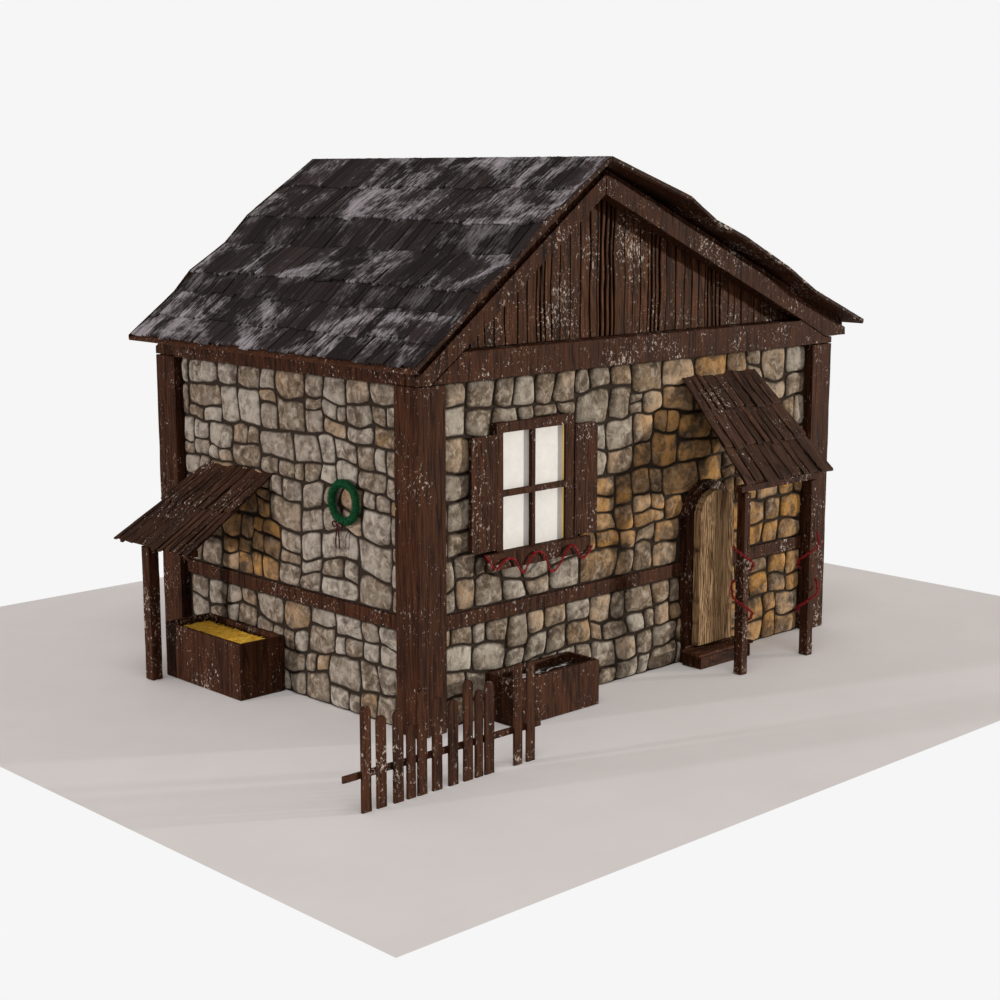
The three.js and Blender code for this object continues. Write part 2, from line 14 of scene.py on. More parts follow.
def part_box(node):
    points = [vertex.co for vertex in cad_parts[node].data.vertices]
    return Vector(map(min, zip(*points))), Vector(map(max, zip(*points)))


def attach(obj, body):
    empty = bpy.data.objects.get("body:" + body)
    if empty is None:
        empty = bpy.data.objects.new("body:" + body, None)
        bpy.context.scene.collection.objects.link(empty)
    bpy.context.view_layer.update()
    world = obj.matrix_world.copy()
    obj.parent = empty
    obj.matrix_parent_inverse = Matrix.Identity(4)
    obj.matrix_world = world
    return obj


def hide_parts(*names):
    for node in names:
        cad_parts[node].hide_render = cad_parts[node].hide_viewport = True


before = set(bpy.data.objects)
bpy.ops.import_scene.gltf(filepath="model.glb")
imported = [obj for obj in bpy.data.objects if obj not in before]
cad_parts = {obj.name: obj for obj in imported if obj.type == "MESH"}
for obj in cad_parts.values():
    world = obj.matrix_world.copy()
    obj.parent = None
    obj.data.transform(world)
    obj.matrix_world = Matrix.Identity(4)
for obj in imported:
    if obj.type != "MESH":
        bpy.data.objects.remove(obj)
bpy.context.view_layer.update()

UP = Vector((0, 0, 1))
ALONG = Vector((1, 0, 0))
INWARD = Vector((0, 1, 0))


# ---- camera, floor and lights ----

def set_camera():
    lens = bpy.data.cameras.new("camera")
    lens.lens = 64.062
    lens.sensor_width = 36
    camera = bpy.data.objects.new("camera", lens)
    camera.location = (-15.2208, -15.8636, 5.8394)
    camera.rotation_euler = (math.radians(79.586), 0, math.radians(-43.687))
    bpy.context.scene.collection.objects.link(camera)
    bpy.context.scene.camera = camera


def add_sun(name, travel, strength, colour, softness):
    """A distant studio lamp whose light travels along the given direction."""
    lamp = bpy.data.lights.new(name, "SUN")
    lamp.energy = strength
    lamp.color = colour
    lamp.angle = math.radians(softness)
    sun = bpy.data.objects.new(name, lamp)
    sun.rotation_euler = Vector(travel).to_track_quat("-Z", "Y").to_euler()
    bpy.context.scene.collection.objects.link(sun)


def set_surroundings(seen, fill, fill_strength):
    """A pale backdrop, and a soft fill that lights the object from all round."""
    world = bpy.data.worlds.new("studio")
    world.use_nodes = True
    nodes = world.node_tree.nodes
    links = world.node_tree.links
    backdrop = nodes["Background"]
    backdrop.inputs["Color"].default_value = (*seen, 1)
    glow = nodes.new("ShaderNodeBackground")
    glow.inputs["Color"].default_value = (*fill, 1)
    glow.inputs["Strength"].default_value = fill_strength
    path = nodes.new("ShaderNodeLightPath")
    choice = nodes.new("ShaderNodeMixShader")
    links.new(path.outputs["Is Camera Ray"], choice.inputs[0])
    links.new(glow.outputs[0], choice.inputs[1])
    links.new(backdrop.outputs[0], choice.inputs[2])
    links.new(choice.outputs[0], nodes["World Output"].inputs["Surface"])
    bpy.context.scene.world = world


# ---- shader maths ----

class Value:
    """One output of a finish's nodes, which can be used in plain arithmetic."""

    def __init__(self, finish, socket):
        self.finish = finish
        self.socket = socket

    def __add__(self, other):
        return self.finish.calculate("ADD", self, other)

    def __sub__(self, other):
        return self.finish.calculate("SUBTRACT", self, other)

    def __rsub__(self, other):
        return self.finish.calculate("SUBTRACT", other, self)

    def __mul__(self, other):
        return self.finish.calculate("MULTIPLY", self, other)

    __radd__ = __add__
    __rmul__ = __mul__


class Finish:
    """A material made round one Principled shader."""

    def __init__(self, name, **constants):
        self.material = bpy.data.materials.new(name)
        self.material.use_nodes = True
        self.tree = self.material.node_tree
        self.shader = self.tree.nodes["Principled BSDF"]
        for socket, value in constants.items():
            self.shader.inputs[socket.replace("_", " ").title()].default_value = value
        self.shader.inputs["Specular IOR Level"].default_value = 0.06
        self.place = self.node("ShaderNodeTexCoord", output="Object")

    def node(self, kind, settings=None, inputs=None, output=0):
        """Adds a node, makes its settings, then fills its sockets. Gives one of its outputs."""
        made = self.tree.nodes.new(kind)
        for key, setting in (settings or {}).items():
            setattr(made, key, setting)
        for key, value in (inputs or {}).items():
            if isinstance(value, Value):
                self.tree.links.new(value.socket, made.inputs[key])
            else:
                made.inputs[key].default_value = value
        return Value(self, made.outputs[output])

    def calculate(self, operation, *values):
        return self.node("ShaderNodeMath", {"operation": operation}, dict(enumerate(values)))

    def stretched(self, scale):
        """The object's coordinates, multiplied axis by axis."""
        return self.node("ShaderNodeVectorMath", {"operation": "MULTIPLY"}, {0: self.place, 1: scale})

    def cloud(self, scale, detail=4.0, roughness=0.55, distortion=0.0):
        """Smooth noise from 0 to 1, with this many features a metre along each axis."""
        return self.node("ShaderNodeTexNoise", None, {
            "Vector": self.stretched(scale), "Scale": 1.0, "Detail": detail,
            "Roughness": roughness, "Distortion": distortion,
        })

    def step(self, value, low, high):
        """0 below low and 1 above high, with a smooth rise between."""
        return self.node("ShaderNodeMapRange", {"interpolation_type": "SMOOTHSTEP"}, {
            "Value": value, "From Min": low, "From Max": high,
        })

    def stored(self, name):
        """A number kept on the piece's mesh."""
        return self.node("ShaderNodeAttribute", {"attribute_name": name}, output="Fac")

    def mix(self, share, first, second):
        """A colour between two colours."""
        return self.node("ShaderNodeMix", {"data_type": "RGBA"}, {
            0: share, 6: first, 7: second,
        }, output=2)

    def shade(self, colour, amount):
        """A colour made darker or lighter by a varying amount."""
        return self.node("ShaderNodeVectorMath", {"operation": "SCALE"}, {
            0: colour, "Scale": amount,
        })

    def bumps(self, height, distance, strength=1.0):
        return self.node("ShaderNodeBump", None, {
            "Height": height, "Distance": distance, "Strength": strength,
        })

    def paint(self, **values):
        """Feeds the shader's sockets, named with underscores, and gives the material."""
        for socket, value in values.items():
            title = socket.replace("_", " ").title()
            self.tree.links.new(value.socket, self.shader.inputs[title])
        return self.material


def tint(red, green, blue):
    return (red, green, blue, 1.0)


# ---- finishes ----

FROST = tint(0.44, 0.37, 0.32)


def stone_finish():
    finish = Finish("rubble_stone")
    tone = finish.stored("tone")
    ochre_and_hood_shade = finish.stored("ochre_and_hood_shade")
    edge = finish.stored("rim")
    broad = finish.cloud((3.4, 3.4, 3.4), 5, 0.6, 0.4)
    mottle = finish.cloud((10, 10, 10), 7, 0.66, 0.6)
    pits = finish.cloud((42, 42, 42), 4, 0.6)
    pale = finish.mix(tone, tint(0.17, 0.142, 0.112), tint(0.38, 0.335, 0.28))
    tan = finish.mix(finish.step(mottle, 0.25, 0.75), tint(0.135, 0.092, 0.060), tint(0.28, 0.215, 0.15))
    body = finish.mix(finish.step(broad + tone * 0.30, 0.42, 0.84), tan, pale)
    # Painted shade: stones where the hoods' shadow falls are painted a warm ochre, dark to bright; stray
    # tan stones take a little of it as their own colour.
    ochre = finish.mix(finish.step(broad, 0.35, 0.65), tint(0.130, 0.070, 0.028), tint(0.47, 0.235, 0.058))
    body = finish.mix(ochre_and_hood_shade, body, ochre)
    # Near-black blotches where the noise runs low.
    dark_blotches = finish.step(mottle * 0.6 + broad * 0.4, 0.56, 0.34)
    body = finish.mix(dark_blotches * 0.80, body, tint(0.050, 0.038, 0.030))
    # Pale patches in the stones' lit colour, partly painted highlights, which fade where the hoods' shade
    # is painted.
    light = finish.step(mottle, 0.48, 0.76) * (1 - ochre_and_hood_shade * 0.6)
    body = finish.mix(light * 0.55, body, tint(0.56, 0.52, 0.46))
    # Painted shade: each stone darkens towards its rim, where it rounds down into the joint.
    body = finish.mix(edge * 0.86, body, tint(0.030, 0.021, 0.015))
    height = mottle * 0.7 + pits * 0.3
    return finish.paint(
        base_color=body, roughness=0.72 + pits * 0.25, normal=finish.bumps(height, 0.028),
    )


def mortar_and_joint_shade_finish():
    # Dark earth mortar, painted near black as well for the shade that lies in the joints between stones
    # and flags.
    finish = Finish("mortar_and_joint_shade")
    grit = finish.cloud((60, 60, 60), 4, 0.7)
    colour = finish.mix(grit, tint(0.012, 0.008, 0.006), tint(0.05, 0.036, 0.026))
    return finish.paint(
        base_color=colour, roughness=0.85 + grit * 0.12, normal=finish.bumps(grit, 0.008),
    )


def wood_finish(name, fast, dark, light, frost_from, frost_colour=FROST, streak=0.55, wear=1.0):
    """Weathered timber. The grain changes quickly along the axes that fast gives big numbers."""
    finish = Finish(name)
    across = Vector(fast)
    grain = finish.cloud(tuple(across * 24), 6, 0.70, 0.5)
    fine = finish.cloud(tuple(across * 75), 4, 0.6)
    board = finish.cloud(tuple(across * 3.2), 3, 0.5)
    shaded_hollow = finish.stored("shaded_hollow")
    tone = finish.stored("tone")
    share = finish.step(grain * 0.65 + fine * 0.35, 0.5 - streak * 0.26, 0.5 + streak * 0.26)
    colour = finish.mix(share, dark, light)
    colour = finish.shade(colour, 0.55 + board * 0.55 + tone * 0.5)
    # Painted shade: the opened cracks are painted near black, as the shade in them.
    colour = finish.mix(shaded_hollow * 0.9, colour, tint(0.006, 0.003, 0.002))
    specks = finish.cloud(tuple(Vector((24, 24, 24)) - across * -8), 5, 0.7, 0.5)
    spread = finish.cloud((1.7, 1.7, 1.7), 3, 0.55)
    frost = finish.step(specks + spread * 0.42, frost_from, frost_from + 0.045)
    frost = frost * (1 - shaded_hollow) * wear
    colour = finish.mix(frost, colour, frost_colour)
    height = share * 0.6 + fine * 0.25 + frost * 0.35
    return finish.paint(
        base_color=colour, roughness=0.62 + share * 0.14 + frost * 0.2,
        normal=finish.bumps(height, 0.006),
    )


def roof_finish():
    """Charcoal planks with hoar frost lying in streaky patches on each course."""
    finish = Finish("roof_planks")
    grain = finish.cloud((2.2, 46, 2.2), 5, 0.66, 0.4)
    fine = finish.cloud((9, 150, 9), 3, 0.6)
    tone = finish.stored("tone")
    patch = finish.cloud((1.5, 1.3, 1.5), 5, 0.66, 0.5)
    streak = finish.cloud((8, 34, 8), 6, 0.72)
    colour = finish.mix(grain, tint(0.0060, 0.0042, 0.0042), tint(0.036, 0.027, 0.027))
    colour = finish.shade(colour, 0.5 + tone * 0.95)
    bare_shaded_course = finish.stored("bare_shaded_course")
    frost = finish.step(patch * 1.1 + streak * 0.75 + fine * 0.2 + tone * 0.12, 1.07, 1.32)
    # Steep courses hold less frost, which also paints them dark as the shade under each lap.
    frost = frost * (1 - bare_shaded_course * 0.60)
    colour = finish.mix(frost * 0.84, colour, tint(0.34, 0.315, 0.335))
    height = grain * 0.6 + fine * 0.3
    return finish.paint(
        base_color=colour, roughness=0.66 + frost * 0.24, normal=finish.bumps(height, 0.010),
    )


def door_finish():
    finish = Finish("door_timber")
    shaded_hollow = finish.stored("shaded_hollow")
    wave = finish.cloud((34, 34, 1.5), 6, 0.62, 1.4)
    fine = finish.cloud((160, 160, 5), 3, 0.6)
    colour = finish.mix(finish.step(wave, 0.36, 0.60), tint(0.115, 0.052, 0.022), tint(0.42, 0.275, 0.145))
    colour = finish.shade(colour, 0.72 + fine * 0.5)
    # Painted shade: the carved grooves are painted near black.
    colour = finish.mix(shaded_hollow * 0.92, colour, tint(0.03, 0.014, 0.007))
    return finish.paint(
        base_color=colour, roughness=0.55 + fine * 0.2, normal=finish.bumps(wave + fine * 0.4, 0.007),
    )


def glass_finish():
    # Painted light: the frosted panes glow faintly, though no lamp is behind them.
    finish = Finish("frosted_glass", emission_strength=0.05)
    rime = finish.cloud((7, 7, 7), 6, 0.65, 0.6)
    fern = finish.cloud((38, 38, 38), 4, 0.7, 1.2)
    colour = finish.mix(rime, tint(0.79, 0.775, 0.745), tint(0.58, 0.57, 0.545))
    return finish.paint(
        base_color=colour, emission_color=colour, roughness=0.28 + fern * 0.4,
        normal=finish.bumps(fern, 0.002),
    )


def straw_finish():
    finish = Finish("straw")
    tone = finish.stored("tone")
    blotch = finish.cloud((14, 14, 14), 4, 0.6)
    colour = finish.mix(tone, tint(0.62, 0.36, 0.03), tint(0.95, 0.72, 0.14))
    colour = finish.shade(colour, 0.85 + blotch * 0.9)
    return finish.paint(base_color=colour, roughness=0.55 + blotch * 0.3)


def soil_finish():
    finish = Finish("soil")
    lump = finish.cloud((22, 22, 22), 6, 0.7)
    drift = finish.cloud((1.6, 9, 1.6), 4, 0.6, 0.5)
    colour = finish.mix(lump, tint(0.006, 0.004, 0.003), tint(0.035, 0.022, 0.015))
    snow = finish.step(drift + lump * 0.25, 0.66, 0.74)
    colour = finish.mix(snow, colour, tint(0.62, 0.6, 0.58))
    return finish.paint(
        base_color=colour, roughness=0.8 + lump * 0.15, normal=finish.bumps(lump, 0.02),
    )


def needle_finish():
    finish = Finish("evergreen")
    tone = finish.stored("tone")
    clump = finish.cloud((24, 24, 24), 4, 0.6)
    colour = finish.mix(tone, tint(0.004, 0.030, 0.012), tint(0.022, 0.150, 0.055))
    colour = finish.shade(colour, 0.6 + clump * 0.8)
    return finish.paint(base_color=colour, roughness=0.5 + clump * 0.35)


def tinsel_finish():
    finish = Finish("red_tinsel", coat_weight=0.3)
    glint = finish.cloud((70, 70, 70), 3, 0.6)
    colour = finish.mix(glint, tint(0.085, 0.001, 0.003), tint(0.42, 0.012, 0.020))
    return finish.paint(base_color=colour, roughness=0.22 + glint * 0.25)


def flag_finish():
    finish = Finish("flagstone")
    tone = finish.stored("tone")
    mottle = finish.cloud((9, 9, 9), 5, 0.6, 0.4)
    colour = finish.mix(mottle, tint(0.08, 0.068, 0.055), tint(0.24, 0.21, 0.175))
    colour = finish.shade(colour, 0.7 + tone * 0.5)
    return finish.paint(
        base_color=colour, roughness=0.6 + mottle * 0.3, normal=finish.bumps(mottle, 0.01),
    )


def painted_lamplight_finish():
    # Painted lamplight: a warm glow on the window's reveal, with no lamp to cast it.
    finish = Finish("painted_lamplight_reveal", emission_strength=0.25)
    streak = finish.cloud((20, 20, 3), 3, 0.6)
    colour = finish.mix(streak, tint(0.55, 0.30, 0.04), tint(0.95, 0.72, 0.28))
    return finish.paint(base_color=colour, emission_color=colour, roughness=0.5 + streak * 0.3)


def ribbon_finish():
    finish = Finish("dark_ribbon")
    weave = finish.cloud((120, 120, 120), 3, 0.6)
    colour = finish.mix(weave, tint(0.012, 0.004, 0.005), tint(0.07, 0.012, 0.014))
    return finish.paint(base_color=colour, roughness=0.5 + weave * 0.3)


def floor_finish():
    finish = Finish("studio_floor", emission_strength=0.06)
    cloud = finish.cloud((0.7, 0.7, 0.7), 4, 0.6)
    colour = finish.mix(cloud, tint(0.680, 0.655, 0.650), tint(0.770, 0.745, 0.740))
    return finish.paint(base_color=colour, emission_color=colour, roughness=0.8 + cloud * 0.1)


VERTICAL_GRAIN = (1, 1, 0.06)

STONE = stone_finish()
MORTAR_AND_JOINT_SHADE = mortar_and_joint_shade_finish()
FRAME_WOOD = wood_finish(
    "frame_timber", VERTICAL_GRAIN, tint(0.026, 0.0085, 0.0040), tint(0.088, 0.032, 0.0145), 0.824,
)
GABLE_WOOD = wood_finish(
    "gable_timber", VERTICAL_GRAIN, tint(0.014, 0.0045, 0.0022), tint(0.098, 0.038, 0.0165), 0.826,
)
PORCH_HOOD_WOOD = wood_finish(
    "porch_hood_planks", (1, 0.06, 0.06), tint(0.014, 0.0070, 0.0045), tint(0.064, 0.030, 0.0185), 0.850,
)
SIDE_HOOD_WOOD = wood_finish(
    "side_hood_planks", (0.06, 1, 0.06), tint(0.013, 0.0060, 0.0036), tint(0.058, 0.026, 0.0150), 0.838,
)
ROOF_WOOD = roof_finish()
DOOR_WOOD = door_finish()
GLASS = glass_finish()
STRAW = straw_finish()
SOIL = soil_finish()
NEEDLES = needle_finish()
TINSEL = tinsel_finish()
FLAGS = flag_finish()
PAINTED_LAMPLIGHT = painted_lamplight_finish()
VERGE_WOOD = wood_finish(
    "verge_boards", (0.35, 1, 1), tint(0.016, 0.0075, 0.0050), tint(0.075, 0.036, 0.0220), 0.800,
)
# A near-black lining, painted as the shade of the roof space seen through the gable boards.
SHADE_LINING_WOOD = wood_finish(
    "gable_shade_lining", VERTICAL_GRAIN, tint(0.003, 0.0015, 0.001), tint(0.010, 0.0045, 0.0025), 2.0,
)
RIBBON = ribbon_finish()


# ---- making pieces ----

def make_piece(bm, name, finish, body="root", replaces=(), smooth=False):
    """Turns a bmesh into a named piece that rides on a body."""
    bmesh.ops.recalc_face_normals(bm, faces=bm.faces[:])
    mesh = bpy.data.meshes.new(name)
    bm.to_mesh(mesh)
    bm.free()
    for polygon in mesh.polygons:
        polygon.use_smooth = smooth
    mesh.materials.append(finish)
    piece = bpy.data.objects.new(name, mesh)
    bpy.context.scene.collection.objects.link(piece)
    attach(piece, body)
    if replaces:
        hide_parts(*replaces)
    return piece


def whole_copy(node):
    """A CAD node's shape with its triangles joined and its flat faces made whole."""
    bm = bmesh.new()
    bm.from_mesh(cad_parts[node].data)
    bmesh.ops.remove_doubles(bm, verts=bm.verts[:], dist=2e-5)
    bmesh.ops.dissolve_limit(
        bm, angle_limit=math.radians(1), verts=bm.verts[:], edges=bm.edges[:],
    )
    return bm


def soften(bm, width, segments=2, sharp=25):
    """Rounds every edge that turns by more than the sharp angle."""
    edges = [
        edge for edge in bm.edges
        if len(edge.link_faces) == 2 and edge.calc_face_angle() > math.radians(sharp)
    ]
    bmesh.ops.bevel(
        bm, geom=edges, offset=width, offset_type="OFFSET", affect="EDGES",
        segments=segments, profile=0.5, material=-1, clamp_overlap=True,
    )


def slice_up(bm, steps):
    """Cuts the faces by planes across each axis, about a step apart. A step of 0 makes no cut."""
    for axis, step in enumerate(steps):
        if not step:
            continue
        normal = Vector((axis == 0, axis == 1, axis == 2))
        reach = [vert.co[axis] for vert in bm.verts]
        low, high = min(reach), max(reach)
        count = round((high - low) / step)
        for index in range(1, count):
            bmesh.ops.bisect_plane(
                bm, geom=bm.verts[:] + bm.edges[:] + bm.faces[:], dist=1e-6,
                plane_co=normal * (low + (high - low) * index / count), plane_no=normal,
            )


def crack(spot, fast, pitch):
    """1 along wandering cracks that follow the grain, and 0 between them."""
    place = Vector(a * b * pitch for a, b in zip(spot, fast))
    return max(0.0, 1 - abs(noise.noise(place)) / 0.10)


def weather(bm, fast, depth, waver, pitch=22.0):
    """Opens the grain and wears the faces unevenly, always inwards. Keeps how far each spot's crack is
    opened, which the finishes paint near black as shade.
    """
    shaded_hollow = bm.verts.layers.float.new("shaded_hollow")
    bmesh.ops.recalc_face_normals(bm, faces=bm.faces[:])
    bm.normal_update()
    moves = []
    for vert in bm.verts:
        opened = crack(vert.co, fast, pitch)
        worn = 0.5 + 0.5 * noise.noise(vert.co * 2.3)
        ripple = 0.5 + 0.5 * noise.noise(Vector(a * b * 9 for a, b in zip(vert.co, fast)))
        vert[shaded_hollow] = opened
        moves.append(vert.normal * -(depth * opened + waver * worn + depth * 0.7 * ripple))
    for vert, move in zip(bm.verts, moves):
        vert.co += move


def dress_timber(node, steps, edge=0.012, depth=0.005, waver=0.006):
    """A hewn, weathered timber in the place of its plain CAD node."""
    bm = whole_copy(node)
    soften(bm, edge)
    slice_up(bm, steps)
    weather(bm, VERTICAL_GRAIN, depth, waver)
    make_piece(bm, f"{node}_timber", FRAME_WOOD, replaces=[node])


def fit_block(bm, corner_at):
    """A block whose corners go where corner_at puts each (-1 or 1, -1 or 1, -1 or 1)."""
    verts = bmesh.ops.create_cube(bm, size=2)["verts"]
    for vert in verts:
        vert.co = corner_at(*vert.co)
    return verts


def place_block(bm, centre, long_way, wide_way, thick_way):
    """A block whose three full sides are the given vectors."""
    matrix = Matrix((long_way, wide_way, thick_way)).transposed().to_4x4()
    matrix.translation = centre
    return bmesh.ops.create_cube(bm, size=1, matrix=matrix)["verts"]


def box_block(bm, low, high):
    """An upright block between two opposite corners."""
    low, high = Vector(low), Vector(high)
    size = high - low
    return place_block(bm, (low + high) / 2, ALONG * size.x, INWARD * size.y, UP * size.z)


def add_slab(bm, outline, way):
    """A flat outline, pushed along a vector into a solid."""
    face = bm.faces.new([bm.verts.new(corner) for corner in outline])
    made = bmesh.ops.extrude_face_region(bm, geom=[face])
    moved = [item for item in made["geom"] if isinstance(item, bmesh.types.BMVert)]
    bmesh.ops.translate(bm, verts=moved, vec=way)


def mark_faces(verts, layer, value):
    for face in {face for vert in verts for face in vert.link_faces}:
        face[layer] = value


def lerp(first, second, share):
    return first + (second - first) * share


def swell(value):
    """A smooth rise from 0 to 1, flat outside that range."""
    held = min(1.0, max(0.0, value))
    return held * held * (3 - 2 * held)


# ---- rubble walls ----

STONE_WIDE = 0.66
STONE_TALL = 0.38
JOINT = 0.016
STONE_PROUD = 0.046
STONE_COLUMNS = 8
STONE_ROWS = 6
# Far enough along the noise for the sideways and upward drift to have nothing in common.
APART = Vector((31.7, -12.3, 5.1))


class Face:
    """A flat face to lay stones on: spots along it, up it and out of it."""

    def __init__(self, origin, along, up, out):
        self.origin = Vector(origin)
        self.along = along
        self.up = up
        self.out = out

    def at(self, across, height, proud):
        return self.origin + self.along * across + self.up * height + self.out * proud


def break_up(rect, rng):
    """Splits a stretch of wall at random until every part is the size of one stone."""
    left, right, bottom, top = rect
    wide, tall = right - left, top - bottom
    if wide > STONE_WIDE or (wide > 0.42 and wide > tall * 1.8 and rng.random() < 0.7):
        cut = left + wide * rng.uniform(0.36, 0.64)
        return break_up((left, cut, bottom, top), rng) + break_up((cut, right, bottom, top), rng)
    if tall > STONE_TALL or (tall > 0.28 and tall > wide * 1.2 and rng.random() < 0.75):
        cut = bottom + tall * rng.uniform(0.38, 0.62)
        return break_up((left, right, bottom, cut), rng) + break_up((left, right, cut, top), rng)
    return [rect]


def lay_out(area, rng):
    """Random rubble: uneven bands of blocks, each block broken into stones."""
    left, right, bottom, top = area
    stones = []
    low = bottom
    while low < top:
        high = low + rng.uniform(0.46, 0.70)
        if top - high < 0.2:
            high = top
        start = left - rng.uniform(0.0, 0.4)
        while start < right:
            end = start + rng.uniform(0.6, 1.2)
            stones += break_up((start, end, low, high), rng)
            start = end
        low = high
    return stones


def trim(rect, area, openings):
    """The part of a stone inside its area and beside the openings, or None."""
    left, right = max(rect[0], area[0]), min(rect[1], area[1])
    bottom, top = max(rect[2], area[2]), min(rect[3], area[3])
    for hole in openings:
        if right <= hole[0] or left >= hole[1] or top <= hole[2] or bottom >= hole[3]:
            continue
        parts = [
            (left, min(right, hole[0]), bottom, top), (max(left, hole[1]), right, bottom, top),
            (left, right, bottom, min(top, hole[2])), (left, right, max(bottom, hole[3]), top),
        ]
        left, right, bottom, top = max(
            parts, key=lambda part: max(0, part[1] - part[0]) * max(0, part[3] - part[2]),
        )
    if right - left < 0.07 or top - bottom < 0.05:
        return None
    return left, right, bottom, top


def drift(across, height, area, seed):
    """How far the joints wander from straight lines, fading out at the edges of the area."""
    slow = Vector((across * 1.15, height * 1.3, seed))
    quick = Vector((across * 4.2, height * 4.2, seed + 7))
    ease_across = swell(min(across - area[0], area[1] - across) / 0.3)
    ease_up = swell(min(height - area[2], area[3] - height) / 0.22)
    sideways = 0.115 * noise.noise(slow) + 0.042 * noise.noise(quick)
    upwards = 0.115 * noise.noise(slow + APART) + 0.042 * noise.noise(quick + APART)
    return sideways * ease_across, upwards * ease_up


def lay_stone(bm, layers, face, rect, area, arch, proud, ochre_and_hood_shade, rng, seed):
    """One stone: a pillowed front with uneven rounded corners, and a back set in the mortar."""
    made = bmesh.ops.create_grid(bm, x_segments=STONE_COLUMNS, y_segments=STONE_ROWS, size=1)["verts"]
    corners = [[rng.uniform(0.08, 0.55) for _ in range(2)] for _ in range(2)]
    half_wide = (rect[1] - rect[0] - JOINT) / 2
    half_tall = (rect[3] - rect[2] - JOINT) / 2
    middle = ((rect[0] + rect[1]) / 2, (rect[2] + rect[3]) / 2)
    lean = (rng.uniform(-0.14, 0.14), rng.uniform(-0.14, 0.14))
    level = rng.uniform(0.62, 0.95)
    tone = rng.random()
    reach = max(vert.co.x for vert in made)
    for vert in made:
        a = math.sin(vert.co.x / reach * math.pi / 2)
        b = math.sin(vert.co.y / reach * math.pi / 2)
        roundness = lerp(
            lerp(corners[0][0], corners[1][0], (a + 1) / 2),
            lerp(corners[0][1], corners[1][1], (a + 1) / 2), (b + 1) / 2,
        )
        across = middle[0] + half_wide * a * math.sqrt(1 - roundness * b * b / 2)
        height = middle[1] + half_tall * b * math.sqrt(1 - roundness * a * a / 2)
        shift = drift(across, height, area, seed)
        across, height = across + shift[0], height + shift[1]
        if arch and height > arch[1] - 0.05:
            away = Vector((across - arch[0], height - arch[1]))
            if away.length < arch[2]:
                away = away.normalized() * (arch[2] + 0.15 * (away.length - arch[2]))
                across, height = arch[0] + away.x, arch[1] + away.y
        pillow = (1 - abs(a) ** 7) * (1 - abs(b) ** 7)
        spot = Vector((across * 7, height * 7, seed + tone * 9))
        relief = 0.26 * noise.noise(spot) + 0.13 * noise.noise(spot * 2.4)
        rise = 0.12 + 0.88 * pillow * (level + lean[0] * a + lean[1] * b + relief)
        vert.co = face.at(across, height, proud * min(1.0, rise))
        vert[layers["tone"]] = tone
        # How much of the hoods' painted warm shade the stone takes.
        vert[layers["ochre_and_hood_shade"]] = ochre_and_hood_shade
        # Painted shade, strongest at the rim of the stone.
        vert[layers["rim"]] = 1 - swell(pillow * 2.4)
    fronts = list({link for vert in made for link in vert.link_faces})
    pushed = bmesh.ops.extrude_face_region(bm, geom=fronts)["geom"]
    backs = [item for item in pushed if isinstance(item, bmesh.types.BMVert)]
    bmesh.ops.translate(bm, verts=backs, vec=face.out * -0.03)


def ochre_and_hood_shade_at(across, height, hood_shade_spots, rng):
    """How ochre a stone is: most where the hoods cast their shadow, which is painted in as warm shade,
    with a stray tan stone elsewhere.
    """
    nearest = max(
        (swell(1.7 * (1 - math.hypot(across - s, (height - z) * stretch) / reach))
         for s, z, reach, stretch in hood_shade_spots), default=0.0,
    )
    stray = 0.35 * (rng.random() < 0.12)
    return max(stray, nearest * rng.uniform(0.55, 1.0))


def rubble(name, face, areas, seed, openings=(), arch=None, hood_shade_spots=(), proud=STONE_PROUD,
           finish=None):
    """All the stones of one wall as one joined piece."""
    rng = random.Random(seed)
    bm = bmesh.new()
    layers = {key: bm.verts.layers.float.new(key) for key in ("tone", "ochre_and_hood_shade", "rim")}
    for area in areas:
        for rect in lay_out(area, rng):
            kept = trim(rect, area, openings)
            if kept is None:
                continue
            middle = ((kept[0] + kept[1]) / 2, (kept[2] + kept[3]) / 2)
            if arch and math.hypot(middle[0] - arch[0], middle[1] - arch[1]) < arch[2]:
                continue
            # Painted shade: stones near the spots under the hoods are painted warm ochre as the hoods'
            # shadow.
            ochre_and_hood_shade = ochre_and_hood_shade_at(*middle, hood_shade_spots, rng)
            lay_stone(bm, layers, face, kept, area, arch, proud, ochre_and_hood_shade, rng, seed)
    bmesh.ops.dissolve_degenerate(bm, dist=1e-5, edges=bm.edges[:])
    make_piece(bm, name, finish or STONE, smooth=True)


